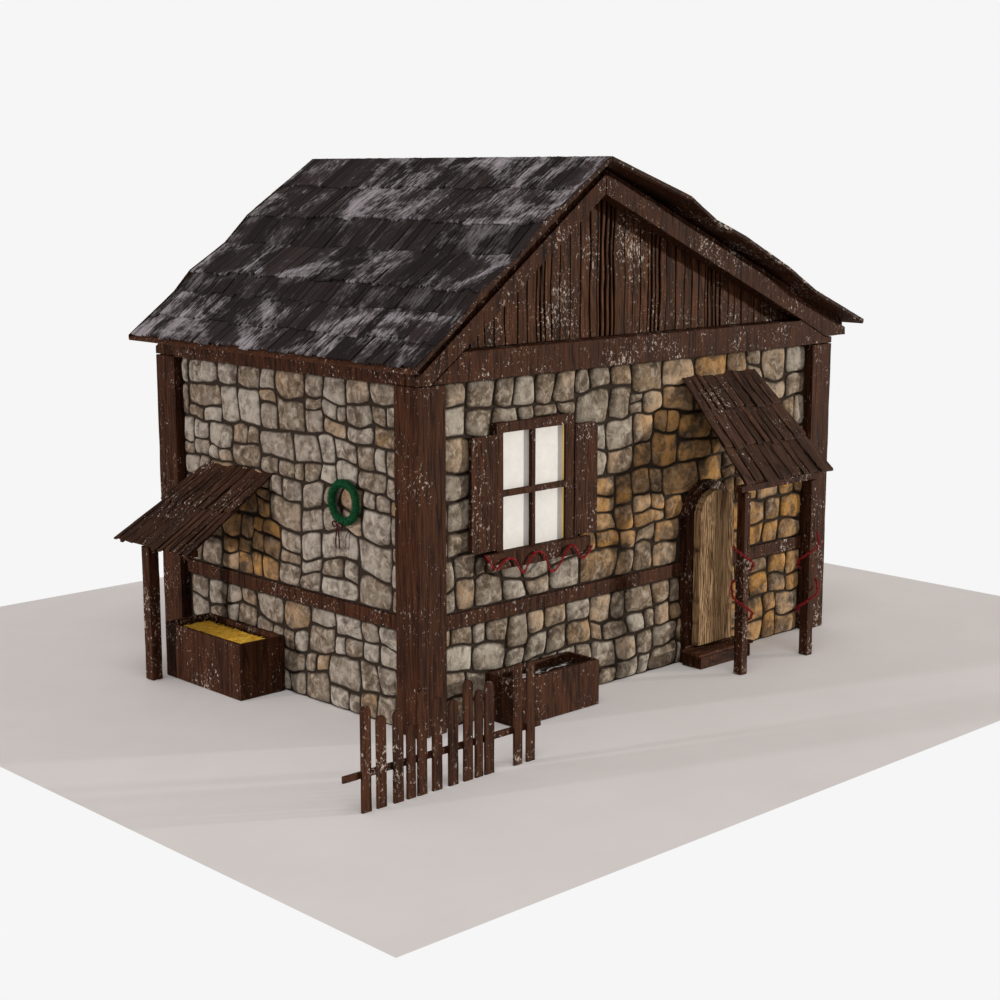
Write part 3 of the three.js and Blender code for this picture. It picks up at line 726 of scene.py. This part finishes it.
def build_walls():
    for node in ("wall_front_left", "wall_over_door", "wall_front_right", "wall_left", "wall_right",
                 "wall_back"):
        # The walls show only in the joints: dark mortar with painted joint shade.
        dress_node(node, MORTAR_AND_JOINT_SHADE)
    rail_low, rail_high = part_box("rail_front_left")
    tie_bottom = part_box("tie_beam_front")[0].z
    plate_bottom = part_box("plate_left")[0].z
    left_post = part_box("post_front_left")[1]
    right_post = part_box("post_front_right")[0]
    back_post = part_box("post_back_left")[0]
    door_low, door_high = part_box("door_frame")
    window_low, window_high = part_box("window_frame")
    door_radius = (door_high.x - door_low.x) / 2
    door_middle = (door_high.x + door_low.x) / 2
    door_spring = door_high.z - door_radius
    tuck = 0.03

    def levels(left, right, top):
        return [(left, right, 0.0, rail_low.z), (left, right, rail_high.z, top)]

    hatch = (window_low.x + tuck, window_high.x - tuck, window_low.z + tuck, window_high.z - tuck)
    doorway = (door_low.x + tuck, door_high.x - tuck, 0.0, door_spring)
    arch = (door_middle, door_spring, door_radius - tuck)
    rubble(
        "front_wall_stones", Face((0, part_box("wall_front_left")[0].y, 0), ALONG, UP, -INWARD),
        levels(left_post.x, right_post.x, tie_bottom), 11, [hatch, doorway], arch,
        # Spots where the porch hood's shadow is painted: along, height, reach and vertical stretch.
        [(1.05, 2.35, 1.75, 0.9), (2.2, 1.3, 1.5, 0.6), (-0.45, 1.9, 0.8, 0.8)],
    )
    rubble(
        "left_wall_stones", Face((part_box("wall_left")[0].x, 0, 0), INWARD, UP, -ALONG),
        levels(left_post.y, back_post.y, plate_bottom), 12,
        # Spot where the side hood's shadow is painted.
        hood_shade_spots=[(0.75, 1.75, 0.95, 1.0)],
    )
    rubble(
        "right_wall_stones", Face((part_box("wall_right")[1].x, 0, 0), INWARD, UP, ALONG),
        levels(left_post.y, back_post.y, plate_bottom), 13,
    )
    rubble(
        "back_wall_stones", Face((0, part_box("wall_back")[1].y, 0), ALONG, UP, INWARD),
        levels(left_post.x, right_post.x, tie_bottom), 14,
    )


def dress_node(node, finish):
    """Gives a CAD node, whose shape is right, its finish."""
    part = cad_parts[node]
    if not part.material_slots:
        part.data.materials.append(finish)
    for material_slot in part.material_slots:
        material_slot.link = "OBJECT"
        material_slot.material = finish


# ---- frame timbers ----

def build_timbers():
    post_steps = (0.02, 0.02, 0.16)
    for corner in ("front_left", "front_right", "back_left", "back_right"):
        dress_timber(f"post_{corner}", post_steps)
    for end in ("front", "back"):
        dress_timber(f"tie_beam_{end}", (0.022, 0.08, 0.11))
        dress_timber(f"rafter_{end}_left", (0.03, 0.05, 0.13), edge=0.008)
        dress_timber(f"rafter_{end}_right", (0.03, 0.05, 0.13), edge=0.008)
    for side in ("left", "right"):
        dress_timber(f"plate_{side}", (0.06, 0.03, 0.11), edge=0.006)
        dress_timber(f"rail_{side}", (0, 0.022, 0.05), edge=0.006)
    for rail in ("rail_front_left", "rail_front_right", "rail_back"):
        dress_timber(rail, (0.022, 0, 0.05), edge=0.006)
    for side in ("left", "right"):
        dress_timber(f"porch_post_{side}", (0.025, 0.025, 0.12), edge=0.010)
    dress_timber("porch_beam", (0.03, 0.03, 0.045), edge=0.008)
    dress_timber("side_post", (0.025, 0.025, 0.12), edge=0.014)
    dress_timber("side_beam", (0.03, 0.03, 0.045), edge=0.008)
    dress_timber("door_frame", (0.02, 0.06, 0.12), edge=0.008)
    dress_timber("window_frame", (0.022, 0, 0.12), edge=0.005, depth=0.003, waver=0.003)
    dress_timber("shutter_left", (0.016, 0, 0.12), edge=0.006, depth=0.006, waver=0.003)
    dress_timber("shutter_right", (0.016, 0, 0.12), edge=0.006, depth=0.006, waver=0.003)
    dress_timber("window_box", (0.025, 0.03, 0.05), edge=0.008)
    dress_timber("side_trough", (0.03, 0.03, 0.11), edge=0.007)
    dress_timber("front_trough", (0.03, 0.03, 0.11), edge=0.007)
    dress_timber("picket_fence", (0.022, 0, 0.11), edge=0.006, depth=0.004, waver=0.004)


# ---- roof ----

ROOF_THICK = 0.070
# Each spot is how far out from the ridge, and how high above the plain slope.
LEFT_SWELL = ((1.05, 0.085), (1.40, 0.008), (1.93, 0.075), (2.17, 0.004))
RIGHT_SWELL = (
    (1.33, 0.126), (1.79, 0.045), (2.32, 0.078), (3.20, 0.047), (3.73, -0.022),
)
PLANK_THICK = 0.024
VERGE_WIDE = 0.026
VERGE_DEEP = 0.055


class Slope:
    """One side of the roof, whose top swells and dips between (out, height) spots."""

    def __init__(self, node, side, swells):
        low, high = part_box(node)
        self.node = node
        self.side = side
        self.ridge_x = low.x if side > 0 else high.x
        self.ridge_z = high.z
        self.front, self.back = low.y, high.y
        self.span = high.x - low.x
        self.fall = (high.z - low.z - ROOF_THICK) / self.span
        self.spots = [(0.0, 0.0), *swells, (self.span, 0.0)]

    def lift_at(self, out):
        """How high the top is above the plain slope, this far out."""
        for (out0, lift0), (out1, lift1) in zip(self.spots, self.spots[1:]):
            if out <= out1:
                return lerp(lift0, lift1, (out - out0) / (out1 - out0))
        return 0.0

    def at(self, out, lift, y):
        """A spot this far out from the ridge, this high above the plain slope."""
        return Vector((self.ridge_x + self.side * out, y, self.ridge_z - self.fall * out + lift))

    def band(self, under, y, thick):
        """The swelling top's edge, a given depth under it, seen from the gable."""
        upper = [self.at(out, lift - under, y) for out, lift in self.spots]
        lower = [self.at(out, lift - under - thick, y) for out, lift in reversed(self.spots)]
        return upper + lower


def lay_planks(slope, edges, seed):
    """Split planks in courses down the slope, every course lapping the one below it."""
    rng = random.Random(seed)
    bm = bmesh.new()
    tone = bm.faces.layers.float.new("tone")
    bare_shaded_course = bm.faces.layers.float.new("bare_shaded_course")
    for number, (out0, out1) in enumerate(zip(edges, edges[1:])):
        first, last = number == 0, number == len(edges) - 2
        steep = slope.lift_at(out0) - slope.lift_at(out1) > 0.05
        y = slope.front + VERGE_WIDE
        end = slope.back - VERGE_WIDE
        while y < end - 0.02:
            wide = min(rng.choice((0.075, 0.11, 0.15, 0.2)) * rng.uniform(0.85, 1.15), end - y)
            hang = rng.uniform(-0.045, -0.008) if last else rng.uniform(-0.035, 0.025)
            head = out0 - (0.0 if first else 0.05)
            toe = out1 + hang
            top = slope.at(head, slope.lift_at(head) - (0.018 if first else 0.044), y + wide / 2)
            foot = slope.at(toe, slope.lift_at(toe) - 0.016 - rng.uniform(0.0, 0.010), y + wide / 2)
            way = foot - top
            skew = INWARD * rng.uniform(-0.006, 0.006)
            rise = way.cross(INWARD).normalized()
            rise = rise if rise.z > 0 else -rise
            verts = place_block(
                bm, (top + foot) / 2, way + skew,
                (INWARD + rise * rng.uniform(-0.06, 0.06)) * (wide - rng.uniform(0.004, 0.012)),
                rise * PLANK_THICK,
            )
            # Painted shade: steep courses, under the lap of the course above, get a darker tone and hold
            # less frost.
            mark_faces(verts, tone, rng.random() * (0.65 if steep else 1.0))
            mark_faces(verts, bare_shaded_course, float(steep))
            y += wide
    soften(bm, 0.004, segments=1)
    make_piece(bm, f"{slope.node}_planks", ROOF_WOOD, replaces=[slope.node])


def build_roof():
    left = Slope("roof_left", -1, LEFT_SWELL)
    right = Slope("roof_right", 1, RIGHT_SWELL)
    lay_planks(left, (0.0, 0.52, 1.05, 1.40, 1.93, 2.17, 2.52, left.span), 21)
    lay_planks(right, (0.0, 0.45, 0.90, 1.33, 1.79, 2.32, 2.76, 3.20, 3.73, 4.25, right.span), 22)
    deck = bmesh.new()
    verge = bmesh.new()
    for slope in (left, right):
        deep = INWARD * (slope.back - slope.front - 0.04)
        add_slab(deck, slope.band(0.047, slope.front + 0.02, 0.020), deep)
        for y in (slope.front, slope.back - VERGE_WIDE):
            add_slab(verge, slope.band(0.004, y, VERGE_DEEP), INWARD * VERGE_WIDE)
    slice_up(deck, (0, 0.14, 0))
    soften(verge, 0.006)
    slice_up(verge, (0.07, 0, 0.07))
    weather(verge, (0.3, 1, 1), 0.003, 0.006)
    make_piece(deck, "roof_deck", FRAME_WOOD)
    make_piece(verge, "verge_boards", VERGE_WOOD)


# ---- gables ----

BOARD_THICK = 0.024
LINING_THICK = 0.005
# Stretches of each gable where the boards are slim and stand apart, as distances along X.
OPEN_STRETCHES = ((-1.70, -1.52), (-0.66, -0.40), (0.15, 0.38), (1.16, 1.44))


def board_gable(end, seed):
    rng = random.Random(seed)
    node = f"gable_boards_{end}"
    low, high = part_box(node)
    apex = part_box(f"rafter_{end}_left")[1].x
    bm = bmesh.new()
    tone = bm.faces.layers.float.new("tone")
    x = low.x
    while x < high.x - 0.05:
        slim = any(start < x < stop for start, stop in OPEN_STRETCHES)
        wide = rng.uniform(0.026, 0.046) if slim else rng.uniform(0.085, 0.17)
        gap = rng.uniform(0.022, 0.045) if slim else rng.uniform(0.008, 0.018)
        middle = x + wide / 2
        if middle < apex:
            share = (middle - low.x) / (apex - low.x)
        else:
            share = (high.x - middle) / (high.x - apex)
        top = lerp(low.z, high.z, share) + 0.05
        set_back = rng.uniform(0.0, 0.010)
        if end == "front":
            near = low.y + set_back
        else:
            near = high.y - set_back - BOARD_THICK
        verts = box_block(bm, (x, near, low.z), (x + wide, near + BOARD_THICK, top))
        mark_faces(verts, tone, rng.random())
        x += wide + gap
    soften(bm, 0.004)
    slice_up(bm, (0.035, 0, 0.13))
    for vert in bm.verts:
        vert.co.x += 0.022 * noise.noise(Vector((vert.co.x * 4, seed, vert.co.z * 2.1)))
    weather(bm, VERTICAL_GRAIN, 0.004, 0.003)
    make_piece(bm, f"{node}_planks", GABLE_WOOD, replaces=[node])
    # Painted shade: a near-black lining behind the boards stands for the dark roof space seen through
    # their gaps.
    lining = bmesh.new()
    y = high.y - LINING_THICK if end == "front" else low.y
    outline = [Vector((low.x, y, low.z)), Vector((high.x, y, low.z)), Vector((apex, y, high.z))]
    add_slab(lining, outline, INWARD * LINING_THICK)
    make_piece(lining, f"{node}_lining", SHADE_LINING_WOOD)


# ---- door ----

def build_door():
    """The arched leaf, carved along its wandering grain. It swings on the door body."""
    bm = whole_copy("door_leaf")
    soften(bm, 0.008)
    slice_up(bm, (0.0085, 0, 0.045))
    shaded_hollow = bm.verts.layers.float.new("shaded_hollow")
    bm.normal_update()
    moves = []
    for vert in bm.verts:
        x, _, z = vert.co
        wander = 0.9 * noise.noise(Vector((x * 3.1, 3.0, z * 0.9)))
        wander += 0.35 * noise.noise(Vector((x * 7.0, 5.0, z * 2.6)))
        ridge = abs(math.sin((x + wander * 0.085) * 92))
        opened = swell(1 - ridge * 1.9) * swell(0.7 + noise.noise(Vector((x * 16, 1.0, z * 1.3))))
        vert[shaded_hollow] = opened
        moves.append(vert.normal * -(0.009 * opened + 0.004 * (1 - ridge)))
    for vert, move in zip(bm.verts, moves):
        vert.co += move
    make_piece(bm, "door_leaf_carved", DOOR_WOOD, "door", ["door_leaf"])


def build_step():
    """Loose boards at the foot of the door, on one solid block beneath them."""
    rng = random.Random(31)
    low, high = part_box("door_step")
    bm = bmesh.new()
    tone = bm.faces.layers.float.new("tone")
    board_thick = 0.045
    count = 4
    pitch = (high.y - low.y) / count
    for index in range(count):
        front = low.y + index * pitch
        verts = box_block(
            bm, (low.x + rng.uniform(0, 0.07), front + 0.004, high.z - board_thick),
            (high.x - rng.uniform(0, 0.07), front + pitch - 0.004, high.z - rng.uniform(0, 0.008)),
        )
        mark_faces(verts, tone, rng.random())
    riser = low.y + 0.02
    box_block(bm, (low.x + 0.05, riser, 0.0), (high.x - 0.05, high.y, high.z - board_thick - 0.004))
    soften(bm, 0.006)
    slice_up(bm, (0.035, 0.03, 0.05))
    weather(bm, (0.06, 1, 1), 0.004, 0.006)
    make_piece(bm, "door_step_boards", FRAME_WOOD, replaces=["door_step"])


# ---- hoods ----

HOOD_BOARD = 0.024
HOOD_RISE = 0.026
# How wide each hood is at its wall edge, and how far its eave edge is shifted along the wall.
PORCH_WIDE, PORCH_SHIFT = 1.386, 0.098
SIDE_WIDE, SIDE_SHIFT = 1.285, 0.263
# How far the boards' slope lies below the hood's top edge and above its lowest one.
HOOD_TOP_DROP = 0.030
HOOD_EAVE_LIFT = 0.044


class Hood:
    """A sloping hood, whose plan spreads from its wall edge to its eave edge."""

    def __init__(self, wall_span, eave_span, wall_out, eave_out, top, eave, across, out):
        self.wall_span = wall_span
        self.eave_span = eave_span
        self.reach = (wall_out, eave_out)
        self.heights = (top, eave)
        self.across = across
        self.out = out

    def at(self, share, away, lift):
        """A spot part of the way across, part of the way out, and above the slope."""
        left = lerp(self.wall_span[0], self.eave_span[0], away)
        right = lerp(self.wall_span[1], self.eave_span[1], away)
        height = lerp(*self.heights, away) + lift
        return self.across * lerp(left, right, share) + self.out * lerp(*self.reach, away) + UP * height


def build_hood(node, hood, finish, courses, boards, seed):
    rng = random.Random(seed)
    bm = bmesh.new()
    tone = bm.faces.layers.float.new("tone")
    edges = [0.0, *courses, 1.0]
    for course, (near, far) in enumerate(zip(edges, edges[1:])):
        cuts = [0.0]
        while cuts[-1] < 1 - 0.4 / boards:
            cuts.append(min(1.0, cuts[-1] + rng.uniform(0.62, 1.35) / boards))
        cuts[-1] = 1.0
        for start, stop in zip(cuts, cuts[1:]):
            lift = rng.uniform(-0.006, 0.004)
            hang = rng.uniform(-0.035, 0.0) if far == 1.0 else rng.uniform(-0.03, 0.012)
            tuck = 0.0 if course == 0 else 0.05
            inset = rng.uniform(0.04, 0.09) / boards
            tilt = rng.uniform(-0.007, 0.007)

            def corner(u, v, w):
                share = start + inset if u < 0 else stop - inset
                away = near - tuck if v < 0 else far + hang
                rise = (-0.012 if v < 0 else HOOD_RISE) + lift + tilt * u
                return hood.at(share, away, rise - HOOD_BOARD / 2 + w * HOOD_BOARD / 2)

            mark_faces(fit_block(bm, corner), tone, rng.random())
    soften(bm, 0.004)
    slice_up(bm, (0.05, 0.05, 0))
    weather(bm, (1, 0.06, 0.06) if hood.across is ALONG else (0.06, 1, 0.06), 0.005, 0.003)
    make_piece(bm, f"{node}_boards", finish, replaces=[node])
    poles = bmesh.new()
    for share in (0.06, 0.5, 0.94):
        def corner(u, v, w):
            away = 0.02 if v < 0 else 0.95
            return hood.at(share + 0.022 * u, away, -0.040 + 0.014 * w - HOOD_BOARD / 2)

        fit_block(poles, corner)

    def lining(u, v, w):
        share = 0.012 if u < 0 else 0.988
        away = 0.01 if v < 0 else 0.955
        return hood.at(share, away, -0.025 + 0.004 * w)

    fit_block(poles, lining)
    soften(poles, 0.003)
    make_piece(poles, f"{node}_rafters", FRAME_WOOD)


def build_hoods():
    low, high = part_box("porch_roof")
    porch = Hood(
        (low.x, low.x + PORCH_WIDE), (low.x + PORCH_SHIFT, high.x), high.y - 0.002, low.y,
        high.z - HOOD_TOP_DROP, low.z + HOOD_EAVE_LIFT, ALONG, INWARD,
    )
    build_hood("porch_roof", porch, PORCH_HOOD_WOOD, (0.37, 0.69), 9, 41)
    low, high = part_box("side_hood")
    side = Hood(
        (low.y, low.y + SIDE_WIDE), (low.y + SIDE_SHIFT, high.y), high.x - 0.002, low.x,
        high.z - HOOD_TOP_DROP, low.z + HOOD_EAVE_LIFT, INWARD, ALONG,
    )
    build_hood("side_hood", side, SIDE_HOOD_WOOD, (0.52,), 10, 42)


# ---- window dressing ----

# How far the panes stop short of the frame's right side, and the bottom and top of each row.
RIGHT_CASING = 0.136
PANE_ROWS = ((1.845, 2.422), (2.502, 3.115))


def build_window():
    dress_node("window_glass", GLASS)
    low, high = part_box("window_frame")
    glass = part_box("window_glass")[0].y
    bm = bmesh.new()
    reveal = high.x - RIGHT_CASING
    # Painted lamplight: a thin glowing strip on the reveal beside each row of panes.
    for bottom, top in PANE_ROWS:
        box_block(bm, (reveal - 0.003, glass - 0.020, bottom), (reveal + 0.004, glass - 0.002, top))
    soften(bm, 0.002)
    make_piece(bm, "window_reveal_glow", PAINTED_LAMPLIGHT)


# ---- garlands and wreath ----

def tube(name, points, radius, resolution=6, steps=8):
    """A mesh tube on a smooth line through the points."""
    curve = bpy.data.curves.new(name, "CURVE")
    curve.dimensions = "3D"
    curve.bevel_depth = radius
    curve.bevel_resolution = resolution
    curve.resolution_u = steps
    curve.use_fill_caps = True
    line = curve.splines.new("BEZIER")
    line.bezier_points.add(len(points) - 1)
    for point, spot in zip(line.bezier_points, points):
        point.co = spot
        point.handle_left_type = point.handle_right_type = "AUTO"
    holder = bpy.data.objects.new(name, curve)
    bm = bmesh.new()
    bm.from_mesh(bpy.data.meshes.new_from_object(holder))
    bpy.data.objects.remove(holder)
    bmesh.ops.remove_doubles(bm, verts=bm.verts[:], dist=1e-5)
    return bm


def bristle(bm, count, length, radius, slant, rng):
    """Small pointed blades, standing out of random spots of the surface."""
    tone = bm.faces.layers.float.new("tone")
    bm.normal_update()
    spots = [(vert.co.copy(), vert.normal.copy()) for vert in bm.verts]
    for face in bm.faces:
        face[tone] = 0.3
    for _ in range(count):
        spot, normal = rng.choice(spots)
        lean = Vector([rng.uniform(-slant, slant) for _ in range(3)])
        way = (normal + lean).normalized()
        size = length * rng.uniform(0.55, 1.0)
        turn = way.to_track_quat("Z", "Y").to_matrix().to_4x4()
        turn.translation = spot + way * (size / 2 - 0.002)
        verts = bmesh.ops.create_cone(
            bm, cap_ends=True, segments=3, radius1=radius, radius2=0, depth=size, matrix=turn,
        )["verts"]
        mark_faces(verts, tone, rng.random())


GARLAND_Y = -2.452
WINDOW_ROUTE = (
    (-2.620, 1.855), (-2.550, 1.768), (-2.467, 1.691), (-2.390, 1.735), (-2.295, 1.773),
    (-2.200, 1.755), (-2.125, 1.655), (-2.059, 1.590), (-1.990, 1.670), (-1.922, 1.758),
    (-1.845, 1.788), (-1.735, 1.740), (-1.680, 1.620), (-1.620, 1.535), (-1.496, 1.600),
    (-1.420, 1.700), (-1.350, 1.768), (-1.280, 1.775), (-1.215, 1.690), (-1.160, 1.620),
    (-1.100, 1.625), (-1.045, 1.660), (-0.980, 1.730),
)
TINSEL_CORE = 0.008
TINSEL_BLADE = 0.020
WINDING_TURNS = 1.75
WINDING_TOP, WINDING_BOTTOM = 1.560, 0.520


def build_garland(node, points, seed):
    bm = tube(node, points, TINSEL_CORE, 2)
    bristle(bm, int(len(points) * 70), TINSEL_BLADE, 0.0030, 0.7, random.Random(seed))
    make_piece(bm, f"{node}_tinsel", TINSEL, replaces=[node])


def build_garlands():
    build_garland("window_garland", [Vector((x, GARLAND_Y, z)) for x, z in WINDOW_ROUTE], 51)
    for seed, side, hand, start in ((52, "left", 1, 0.9), (53, "right", -1, 0.1)):
        low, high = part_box(f"porch_post_{side}")
        middle = (low + high) / 2
        count = round(WINDING_TURNS * 16)
        points = []
        for step in range(count + 1):
            share = step / count
            angle = math.pi * start + hand * 2 * math.pi * WINDING_TURNS * share
            radius = 0.108 + 0.034 * abs(math.cos(2 * angle))
            points.append(Vector((
                middle.x + radius * math.cos(angle), middle.y + radius * math.sin(angle),
                lerp(WINDING_TOP, WINDING_BOTTOM, share),
            )))
        build_garland(f"porch_garland_{side}", points, seed)


def build_wreath():
    low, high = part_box("wreath")
    middle = (low + high) / 2
    tube_radius = (high.x - low.x) / 2
    ring_radius = (high.z - low.z) / 2 - tube_radius
    bm = bmesh.new()
    core = tube_radius * 0.62
    turn = Matrix.Translation(middle + UP * ring_radius) @ Matrix.Rotation(math.pi / 2, 4, "X")
    ring = bmesh.ops.create_circle(bm, segments=20, radius=core, matrix=turn)["verts"]
    bmesh.ops.spin(
        bm, geom=ring + bm.edges[:], cent=middle, axis=ALONG, angle=2 * math.pi,
        steps=72, use_merge=True,
    )
    bm.normal_update()
    for vert in bm.verts:
        lump = noise.noise(vert.co * 26) * 0.006 + noise.noise(vert.co * 60) * 0.003
        vert.co += vert.normal * lump
    bmesh.ops.recalc_face_normals(bm, faces=bm.faces[:])
    bristle(bm, 5200, 0.026, 0.0030, 0.9, random.Random(61))
    make_piece(bm, "wreath_needles", NEEDLES, replaces=["wreath"])
    build_bow(middle, ring_radius, low.x)


def build_bow(middle, ring_radius, wall_side):
    """A small dark ribbon bow on the lower edge of the wreath: two loops and two tails."""
    knot = Vector((wall_side + 0.012, middle.y + 0.06, middle.z - ring_radius - 0.035))
    loops = bmesh.new()
    for side in (-1, 1):
        routes = [
            [(0, 0), (0.045, 0.030), (0.085, 0.012), (0.060, -0.022), (0, 0)],
            [(0, 0), (0.018, -0.09), (0.030, -0.19), (0.024, -0.26)],
        ]
        for route in routes:
            points = [knot + INWARD * side * across + UP * rise for across, rise in route]
            part = tube("bow", points, 0.0075, 2)
            mesh = bpy.data.meshes.new("bow_part")
            part.to_mesh(mesh)
            part.free()
            loops.from_mesh(mesh)
            bpy.data.meshes.remove(mesh)
    bmesh.ops.create_icosphere(loops, subdivisions=2, radius=0.014, matrix=Matrix.Translation(knot))
    make_piece(loops, "wreath_bow", RIBBON, smooth=True)


# ---- what the troughs hold ----

def heap(low, high, columns, rows, lump, pitch, top_drop=0.0):
    """A lumpy surface between two corners, closed down to its base."""
    bm = bmesh.new()
    verts = bmesh.ops.create_grid(bm, x_segments=columns, y_segments=rows, size=1)["verts"]
    reach = max(vert.co.x for vert in verts)
    for vert in verts:
        u, v = vert.co.x / reach, vert.co.y / reach
        x = lerp(low.x, high.x, (u + 1) / 2)
        y = lerp(low.y, high.y, (v + 1) / 2)
        height = 0.5 + 0.5 * noise.noise(Vector((x * pitch, y * pitch, 3.0)))
        height += 0.3 * noise.noise(Vector((x * pitch * 3, y * pitch * 3, 8.0)))
        vert.co = (x, y, high.z - top_drop - lump * min(1.0, max(0.0, height)))
    made = bmesh.ops.extrude_face_region(bm, geom=bm.faces[:])["geom"]
    for item in made:
        if isinstance(item, bmesh.types.BMVert):
            item.co.z = low.z
    return bm


def build_straw():
    rng = random.Random(71)
    low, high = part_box("side_trough_straw")
    bm = heap(low, high, 24, 56, 0.030, 5.0, 0.012)
    tone = bm.faces.layers.float.new("tone")
    for face in bm.faces:
        face[tone] = 0.35
    margin = 0.05
    for _ in range(1900):
        spot = Vector((
            rng.uniform(low.x + margin, high.x - margin), rng.uniform(low.y + margin, high.y - margin),
            high.z - rng.uniform(0.004, 0.030),
        ))
        heading = rng.uniform(0, math.pi)
        dip = rng.uniform(-0.10, 0.10)
        long_way = Vector((math.cos(heading), math.sin(heading), dip)).normalized()
        wide_way = long_way.cross(UP).normalized()
        length = min(rng.uniform(0.05, 0.14), 2 * margin)
        thick_way = long_way.cross(wide_way)
        verts = place_block(bm, spot, long_way * length, wide_way * 0.005, thick_way * 0.004)
        mark_faces(verts, tone, rng.random())
    make_piece(bm, "side_trough_stalks", STRAW, replaces=["side_trough_straw"])


def build_soil():
    low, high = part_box("front_trough_soil")
    bm = heap(low, high, 60, 20, 0.05, 8.0)
    make_piece(bm, "front_trough_earth", SOIL, replaces=["front_trough_soil"])


def build_floor():
    """Worn flags inside, a few millimetres proud of the floor slab."""
    # The slab shows between the flags: dark mortar with painted joint shade.
    dress_node("floor", MORTAR_AND_JOINT_SHADE)
    low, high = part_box("floor")
    rubble(
        "floor_flags", Face((0, 0, high.z), ALONG, INWARD, UP), [(low.x, high.x, low.y, high.y)],
        81, proud=0.008, finish=FLAGS,
    )


# ---- the whole cottage ----

FLOOR_LOW = (-7.08, -6.2)
FLOOR_HIGH = (6.65, 6.0)


def add_studio_floor():
    bm = bmesh.new()
    corners = (
        (FLOOR_LOW[0], FLOOR_LOW[1], 0), (FLOOR_HIGH[0], FLOOR_LOW[1], 0),
        (FLOOR_HIGH[0], FLOOR_HIGH[1], 0), (FLOOR_LOW[0], FLOOR_HIGH[1], 0),
    )
    bm.faces.new([bm.verts.new(corner) for corner in corners])
    mesh = bpy.data.meshes.new("studio_floor")
    bm.to_mesh(mesh)
    bm.free()
    mesh.materials.append(floor_finish())
    ground = bpy.data.objects.new("studio_floor", mesh)
    bpy.context.scene.collection.objects.link(ground)


set_camera()
set_surroundings(seen=(0.92, 0.92, 0.92), fill=(1.0, 0.93, 0.87), fill_strength=0.46)
add_sun("porch_side_lamp", (-1.535, 1.0, -0.10), 3.4, (1.0, 0.97, 0.90), 3.0)
add_sun("trough_side_lamp", (1.0, -0.37, -0.10), 2.0, (1.0, 0.96, 0.97), 3.0)
add_sun("overhead_lamp", (0.25, 0.3, -1.0), 0.8, (1.0, 1.0, 1.0), 30.0)
bpy.context.scene.view_settings.view_transform = "Standard"
add_studio_floor()

build_walls()
build_floor()
build_timbers()
build_roof()
board_gable("front", 23)
board_gable("back", 24)
build_window()
build_door()
build_step()
build_hoods()
build_garlands()
build_wreath()
build_straw()
build_soil()
